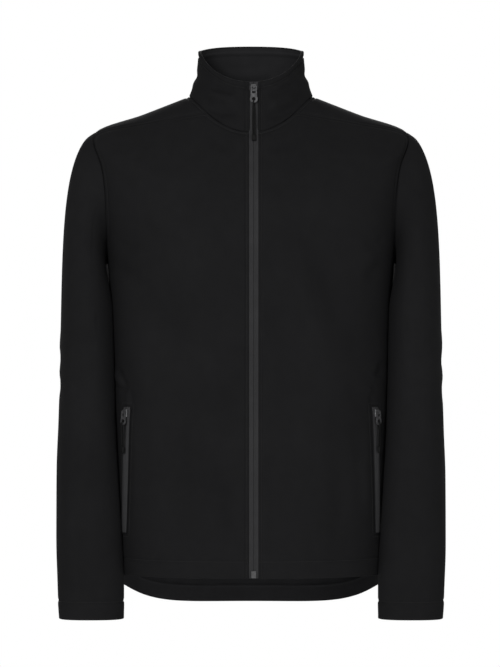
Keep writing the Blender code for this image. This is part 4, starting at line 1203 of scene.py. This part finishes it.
def make_armhole_tapes():
    """The seam tape inside each armhole, from under the body's edge to inside the sleeve."""
    spots = np.array([armhole(turn) for turn in np.linspace(0, 360, ARMHOLE_SPOTS, endpoint=False)])
    edge, ways = body(spots[:, 0], spots[:, 1]), body_normal(spots[:, 0], spots[:, 1])
    across = unit(np.cross(ways, np.roll(edge, -1, axis=0) - np.roll(edge, 1, axis=0)))
    across *= np.sign(np.sum((edge.mean(0) - edge) * across, axis=1, keepdims=True))
    for side, name in ((-1, "right"), (1, "left")):
        mirror = np.array((side, 1, 1))
        face = FINISHED["sleeve_" + name][2] * mirror
        inward = tube_normals(face)
        inside = int(np.argmax(distance_from_edge(face, "top")[:, 0] < SEAM_TAPE_IN))
        nearest = np.argmin(np.linalg.norm(face[-1][:, None] - edge[None], axis=-1), axis=1)
        under = edge[nearest] - ways[nearest] * SEAM_TAPE_DEEP
        grid = np.array((under - across[nearest] * SEAM_TAPE_IN, under,
                         face[-1] - inward[-1] * SEAM_TAPE_DEEP,
                         face[inside] - inward[inside] * SEAM_TAPE_DEEP)) * mirror
        shell("armhole_tape_" + name, grid, tube_normals(grid), SEAM_TAPE, SOFTSHELL,
              ring=True)


def closed_path(path, ways):
    """A path and its outward directions, brought back to where they start."""
    return np.concatenate([path, path[:1]]), np.concatenate([ways, ways[:1]])


def make_sleeves():
    for side, node in ((-1, "sleeve_right"), (1, "sleeve_left")):
        coarse = sleeve_points(side)
        rows, columns = coarse.shape[0] - 1, coarse.shape[1]
        row_at = lines_with_seams(rows, SLEEVE_ROWS_FINER, SLEEVE_SPACING, False, True, CUFF_LINES)
        column_at = np.arange(columns * SLEEVE_COLUMNS_FINER) / SLEEVE_COLUMNS_FINER
        points = refined(coarse, row_at, column_at, ring=True)
        normals = tube_normals(points)
        height = crease_height(points, normals, CREASES)
        top = distance_from_edge(points, "top")
        cuff = distance_from_edge(points, "bottom")
        height *= calmed(top, SLEEVE_TOP_CALM) * calmed(cuff, CUFF_CALM)
        height = np.where(side * normals[..., 0] < SLEEVE_INNER_SIDE, 0.0, height)
        height -= rolled(top) * SLEEVE_ROLL_SHARE + groove(cuff, CUFF_FOLD)
        height += fold_step(cuff, CUFF_FOLD)
        thickness = np.where(cuff < CUFF_FOLD, HEM_CLOTH, CLOTH)
        face = points + normals * height[..., None]
        cloth = shell(node + "_cloth", face, normals, thickness, SOFTSHELL, ring=True)
        sew(node, cloth, face, [closed_path(*inset_path(face, normals, "bottom", CUFF_FOLD))])


def make_collar():
    pairs = collar_pairs()
    rows, columns = pairs.shape[0] - 1, pairs.shape[1] - 1
    row_at = lines_with_seams(rows, COLLAR_FINER, COLLAR_ROW_SPACING, True, True)
    column_at = lines_with_seams(columns, COLLAR_FINER, COLLAR_COLUMN_SPACING, True, True)
    corners = (NECK_FRONT, columns - NECK_FRONT)
    grid = refined(pairs, row_at, column_at, column_corners=corners)
    points = body(grid[..., 0], grid[..., 1])
    normals = body_normal(grid[..., 0], grid[..., 1], collar=True)
    points[0] += np.array((0, 0, 2 * SEAM_GAP))
    height = crease_height(points, normals, COLLAR_CREASES)
    low, high = distance_from_edge(points, "bottom"), distance_from_edge(points, "top")
    left, right = distance_from_edge(points, "left"), distance_from_edge(points, "right")
    for distance in (high, left, right):
        height *= calmed(distance, COLLAR_CALM)
    height -= rolled(low) + groove(high, COLLAR_STITCH_IN, COLLAR_GROOVE)
    height -= groove(left, ZIP_STITCH_IN) + groove(right, ZIP_STITCH_IN)
    side_share = np.abs(points[-1:, :, 0]) / np.abs(points[-1, :, 0]).max()
    drop = COLLAR_TOP_DROP + COLLAR_SIDE_DROP * side_share ** COLLAR_DROP_POWER
    points[..., 2] -= drop * np.exp(-high / COLLAR_DROP_WIDTH)
    face = points + normals * height[..., None]
    thickness = COLLAR_CLOTH - (COLLAR_CLOTH - CLOTH) * np.exp(-(low / COLLAR_FOOT_WIDTH) ** 2)
    thickness += COLLAR_EDGE_EXTRA * np.exp(-(high / COLLAR_EDGE_WIDTH) ** 2)
    cloth = shell("collar_cloth", face, normals, thickness, COLLAR_PAINTED_SHADE)
    paths = [inset_path(face, normals, "top", COLLAR_STITCH_IN)]
    for edge in ("left", "right"):
        path, ways = inset_path(face, normals, edge, ZIP_STITCH_IN)
        below = path[:, 2] < path[:, 2].max() - COLLAR_STITCH_IN
        paths.append((path[below], ways[below]))
    sew("collar", cloth, face, paths)


def make_neck_tape():
    """The seam tape inside the neck, from under the body's neck edge up behind the collar."""
    collar = FINISHED["collar"][2]
    spots = np.linspace(-180, 180, NECK_SPOTS)
    edge = body(spots, NECK_RING)
    nearest = np.argmin(np.linalg.norm(collar[0][:, None] - edge[None], axis=-1), axis=1)
    middle = slice(NECK_TAPE_SHORT, len(nearest) - NECK_TAPE_SHORT)
    angles = spots[nearest][middle]
    below = body(angles, NECK_RING - NECK_TAPE_DOWN)
    below_ways = body_normal(angles, NECK_RING - NECK_TAPE_DOWN)
    edge_ways = body_normal(angles, NECK_RING)
    collar_ways = body_normal(angles, NECK_RING, collar=True)
    up = int(np.argmax(distance_from_edge(collar, "bottom")[:, 0] > SEAM_TAPE_IN))
    grid = np.array((
        below - below_ways * SEAM_TAPE_DEEP,
        edge[nearest][middle] - edge_ways * SEAM_TAPE_DEEP,
        collar[0][middle] - collar_ways * NECK_TAPE_DEEP,
        collar[up][middle] - collar_ways * NECK_TAPE_DEEP))
    normals = np.array((below_ways, edge_ways, collar_ways, collar_ways))
    shell("neck_tape", grid, normals, SEAM_TAPE, SOFTSHELL)


# Zips

COIL_PITCH = 0.0013
COIL_RIB = 0.0001         # how far the ribs stand out, where the coil is at least this high
COIL_RIBBED_FROM = 0.0003
TAPE_LINE = 0.0050        # a line between the coil and the tape's edge
ZIP_ROWS = 1050
POCKET_ROWS = 268
# Across a half of a zip from its middle: distance, and height over the tape
COIL_PROFILE = ((0.00015, -0.00020), (0.0004, 0.00010), (0.0008, 0.00034), (0.0013, 0.00044),
                (0.0019, 0.00040), (0.0025, 0.00022), (0.0030, 0.00004), (0.0038, 0.0))


def coil_height(distance, run):
    """Height of a zip's face over its tape: the covered coil, ribbed along the zip."""
    across, high = np.array(COIL_PROFILE).T
    ridge = np.interp(distance, across, high)
    on_coil = np.clip(ridge / COIL_RIBBED_FROM, 0, 1)
    return ridge + COIL_RIB * on_coil * np.cos(2 * math.pi * run / COIL_PITCH)


def make_zip_tapes():
    places = np.linspace(hem_place(0.0), NECK_RING + 1, ZIP_ROWS)
    for side, node in ((-1, "zip_tape_right"), (1, "zip_tape_left")):
        offsets = np.array([row[0] for row in COIL_PROFILE] + [TAPE_LINE, ZIP_SHOWN / 2 - SEAM_GAP])
        if side < 0:
            offsets = offsets[::-1]
        angles = np.stack([angle_at_x(places, ZIP_X + side * offset) for offset in offsets], axis=1)
        grid_places = np.repeat(places[:, None], len(offsets), axis=1)
        points = body(angles, grid_places)
        normals = body_normal(angles, grid_places)
        run = distance_from_edge(points, "bottom")
        height = coil_height(offsets[None, :], run) - TAPE_SUNK
        face = points + normals * height[..., None]
        base = points - normals * TAPE_SUNK
        tape = shell(node + "_woven", face, normals, TAPE, ZIP_TAPE, plain_inside=base,
                     inside=ZIP_TAPE)
        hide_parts(node)


def pocket_line(share):
    """Angle and ring place down the middle of the left pocket's zip."""
    z, x = (a + (b - a) * share for a, b in zip(POCKET_TOP, POCKET_BOTTOM))
    place = place_at_height(z)
    return float(angle_at_x(place, x)), place


POCKET_LENGTH = POCKET_TOP[0] - POCKET_BOTTOM[0]
POCKET_MIDDLE = np.array([pocket_line(share) for share in np.linspace(-POCKET_BEYOND, 1 + POCKET_BEYOND, 57)])


def pocket_pairs(down, across):
    """Angles and places on the left front, by the distance down the pocket's zip and out from its middle."""
    share = (np.asarray(down) / POCKET_LENGTH + POCKET_BEYOND) / (1 + 2 * POCKET_BEYOND)
    at = share * (len(POCKET_MIDDLE) - 1)
    angle, place = np.moveaxis(smooth_table(POCKET_MIDDLE, at), -1, 0)
    degree = np.linalg.norm(body(angle + 0.5, place) - body(angle - 0.5, place), axis=-1)
    return angle + np.asarray(across) / degree, place


def on_pocket(side, down, across, raised, creased=False):
    """Points and outward directions over the front beside a pocket's zip."""
    angle, place = pocket_pairs(down, across)
    points, normals = body(side * angle, place), body_normal(side * angle, place)
    if creased:
        raised = raised + crease_height(points, normals, CREASES)
    return points + normals * np.asarray(raised)[..., None], normals


# The narrow welt round a pocket's zip
WELT_WIDE = 0.0024
WELT_HIGH = 0.0007
WELT_IN = 0.0003          # how far it reaches in over the tape
WELT_FOOT = SEAM_GAP + TAPE * 0.6
WELT_ROUND = 0.6          # under 1, its back is fuller than half a wave
WELT_STEPS = 8
WELT_SPOTS = 260
WELT_SPOT_UV = 0.0015     # metres of cloth along the welt for each of its spots
POCKET_STITCH_SPOTS = 400
POCKET_STITCH_HIGH = 0.0001
CORNER_STEPS = 8


def rounded_frame(half_wide, top, bottom, corner, count):
    """Down and across places round a frame with round corners."""
    wide, high, low = half_wide - corner, top + corner, bottom - corner
    spots = []
    for across, down, start in ((wide, high, -90), (wide, low, 0), (-wide, low, 90), (-wide, high, 180)):
        for k in range(CORNER_STEPS + 1):
            turn = math.radians(start + 90 * k / CORNER_STEPS)
            spots.append((down + corner * math.sin(turn), across + corner * math.cos(turn)))
    spots = np.array(spots + spots[:1])
    run = np.concatenate([[0], np.cumsum(np.linalg.norm(np.diff(spots, axis=0), axis=1))])
    at = np.linspace(0, run[-1], count, endpoint=False)
    return np.interp(at, run, spots[:, 0]), np.interp(at, run, spots[:, 1])


def make_pocket_zip(side, name):
    half = POCKET_ZIP_WIDTH / 2
    out = [row[0] for row in COIL_PROFILE] + [TAPE_LINE, half]
    across = np.array([-offset for offset in reversed(out)] + out)
    down = np.linspace(0, POCKET_LENGTH, POCKET_ROWS)[::-1]
    grid_down, grid_across = np.meshgrid(down, across * side, indexing="ij")
    coil = coil_height(np.abs(grid_across), grid_down) * POCKET_COIL_SHARE
    face, normals = on_pocket(side, grid_down, grid_across, SEAM_GAP + TAPE + coil)
    base, _ = on_pocket(side, grid_down, grid_across, np.full(grid_down.shape, SEAM_GAP + TAPE))
    tape = shell("pocket_zip_" + name + "_woven", face, normals, TAPE, POCKET_TAPE_PAINTED_LIGHT,
                 plain_inside=base, inside=POCKET_TAPE_PAINTED_LIGHT)
    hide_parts("pocket_zip_" + name)


def make_pocket_welt(side, name):
    """The rounded edge of the cloth round a pocket's zip."""
    vertices, uvs = [], []
    for step in range(WELT_STEPS + 1):
        out = WELT_WIDE * (step / WELT_STEPS - 0.5)
        high = WELT_HIGH * math.sin(math.pi * step / WELT_STEPS) ** WELT_ROUND
        beyond = WELT_WIDE / 2 + out
        down, across = rounded_frame(POCKET_ZIP_WIDTH / 2 + beyond - WELT_IN, -beyond, POCKET_LENGTH + beyond,
                                     POCKET_CORNER + max(out, 0), WELT_SPOTS)
        points, _ = on_pocket(side, down, across * side, np.full(WELT_SPOTS, WELT_FOOT + high), creased=True)
        vertices.extend(points)
        uvs.extend((out, k * WELT_SPOT_UV) for k in range(WELT_SPOTS))
    faces = tube_faces(WELT_STEPS + 1, WELT_SPOTS, closed=True)
    welt = plain_mesh("pocket_" + name + "_welt", [tuple(p) for p in vertices], faces, uvs, [SOFTSHELL])
    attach(welt, JACKET)


def make_pocket_stitches(side, name):
    down, across = rounded_frame(POCKET_ZIP_WIDTH / 2 + POCKET_STITCH_OUT, -POCKET_STITCH_OUT,
                                 POCKET_LENGTH + POCKET_STITCH_OUT, POCKET_CORNER, POCKET_STITCH_SPOTS)
    raised = np.full(POCKET_STITCH_SPOTS, POCKET_STITCH_HIGH)
    path, ways = on_pocket(side, down, across * side, raised, creased=True)
    stitches("pocket_" + name + "_stitches", [closed_path(path, ways)])


def make_pockets():
    for side, name in ((-1, "right"), (1, "left")):
        make_pocket_zip(side, name)
        make_pocket_welt(side, name)
        make_pocket_stitches(side, name)


# Sliders, pulls and moulded ends are the frame's own solids with softened edges
SLIDER_EDGE = 0.0003
PULL_EDGE = 0.00022
CORD_END_EDGE = 0.0004
SHARP_FROM = math.radians(28)


def soften(node, finish, width, segments=2):
    """Gives one of the frame's solids its material and rounded edges."""
    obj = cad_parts[node]
    for place in obj.material_slots:
        place.material = finish
    bevel = obj.modifiers.new("softened_edges", "BEVEL")
    bevel.width = width
    bevel.segments = segments
    bevel.limit_method = "ANGLE"
    bevel.angle_limit = SHARP_FROM


def make_hardware():
    for key in ("main", "pocket_right", "pocket_left"):
        # the pocket sliders and pulls take the lighter copy of the gunmetal, which is painted light
        metal = GUNMETAL if key == "main" else POCKET_METAL_PAINTED_LIGHT
        soften(key + "_slider", metal, SLIDER_EDGE)
        soften(key + "_pull", metal, PULL_EDGE)
        soften(key + "_cord_end", MOULDED_END, CORD_END_EDGE, segments=3)
    soften("zip_box", ZIP_PLASTIC, SLIDER_EDGE)


make_camera()
make_cord("main", "main_puller")
make_cord("pocket_right", "pocket_right_puller")
make_cord("pocket_left", "pocket_left_puller")
make_fronts()
make_back()
make_sleeves()
make_armhole_tapes()
make_collar()
make_neck_tape()
make_zip_tapes()
make_pockets()
make_hardware()
make_studio()
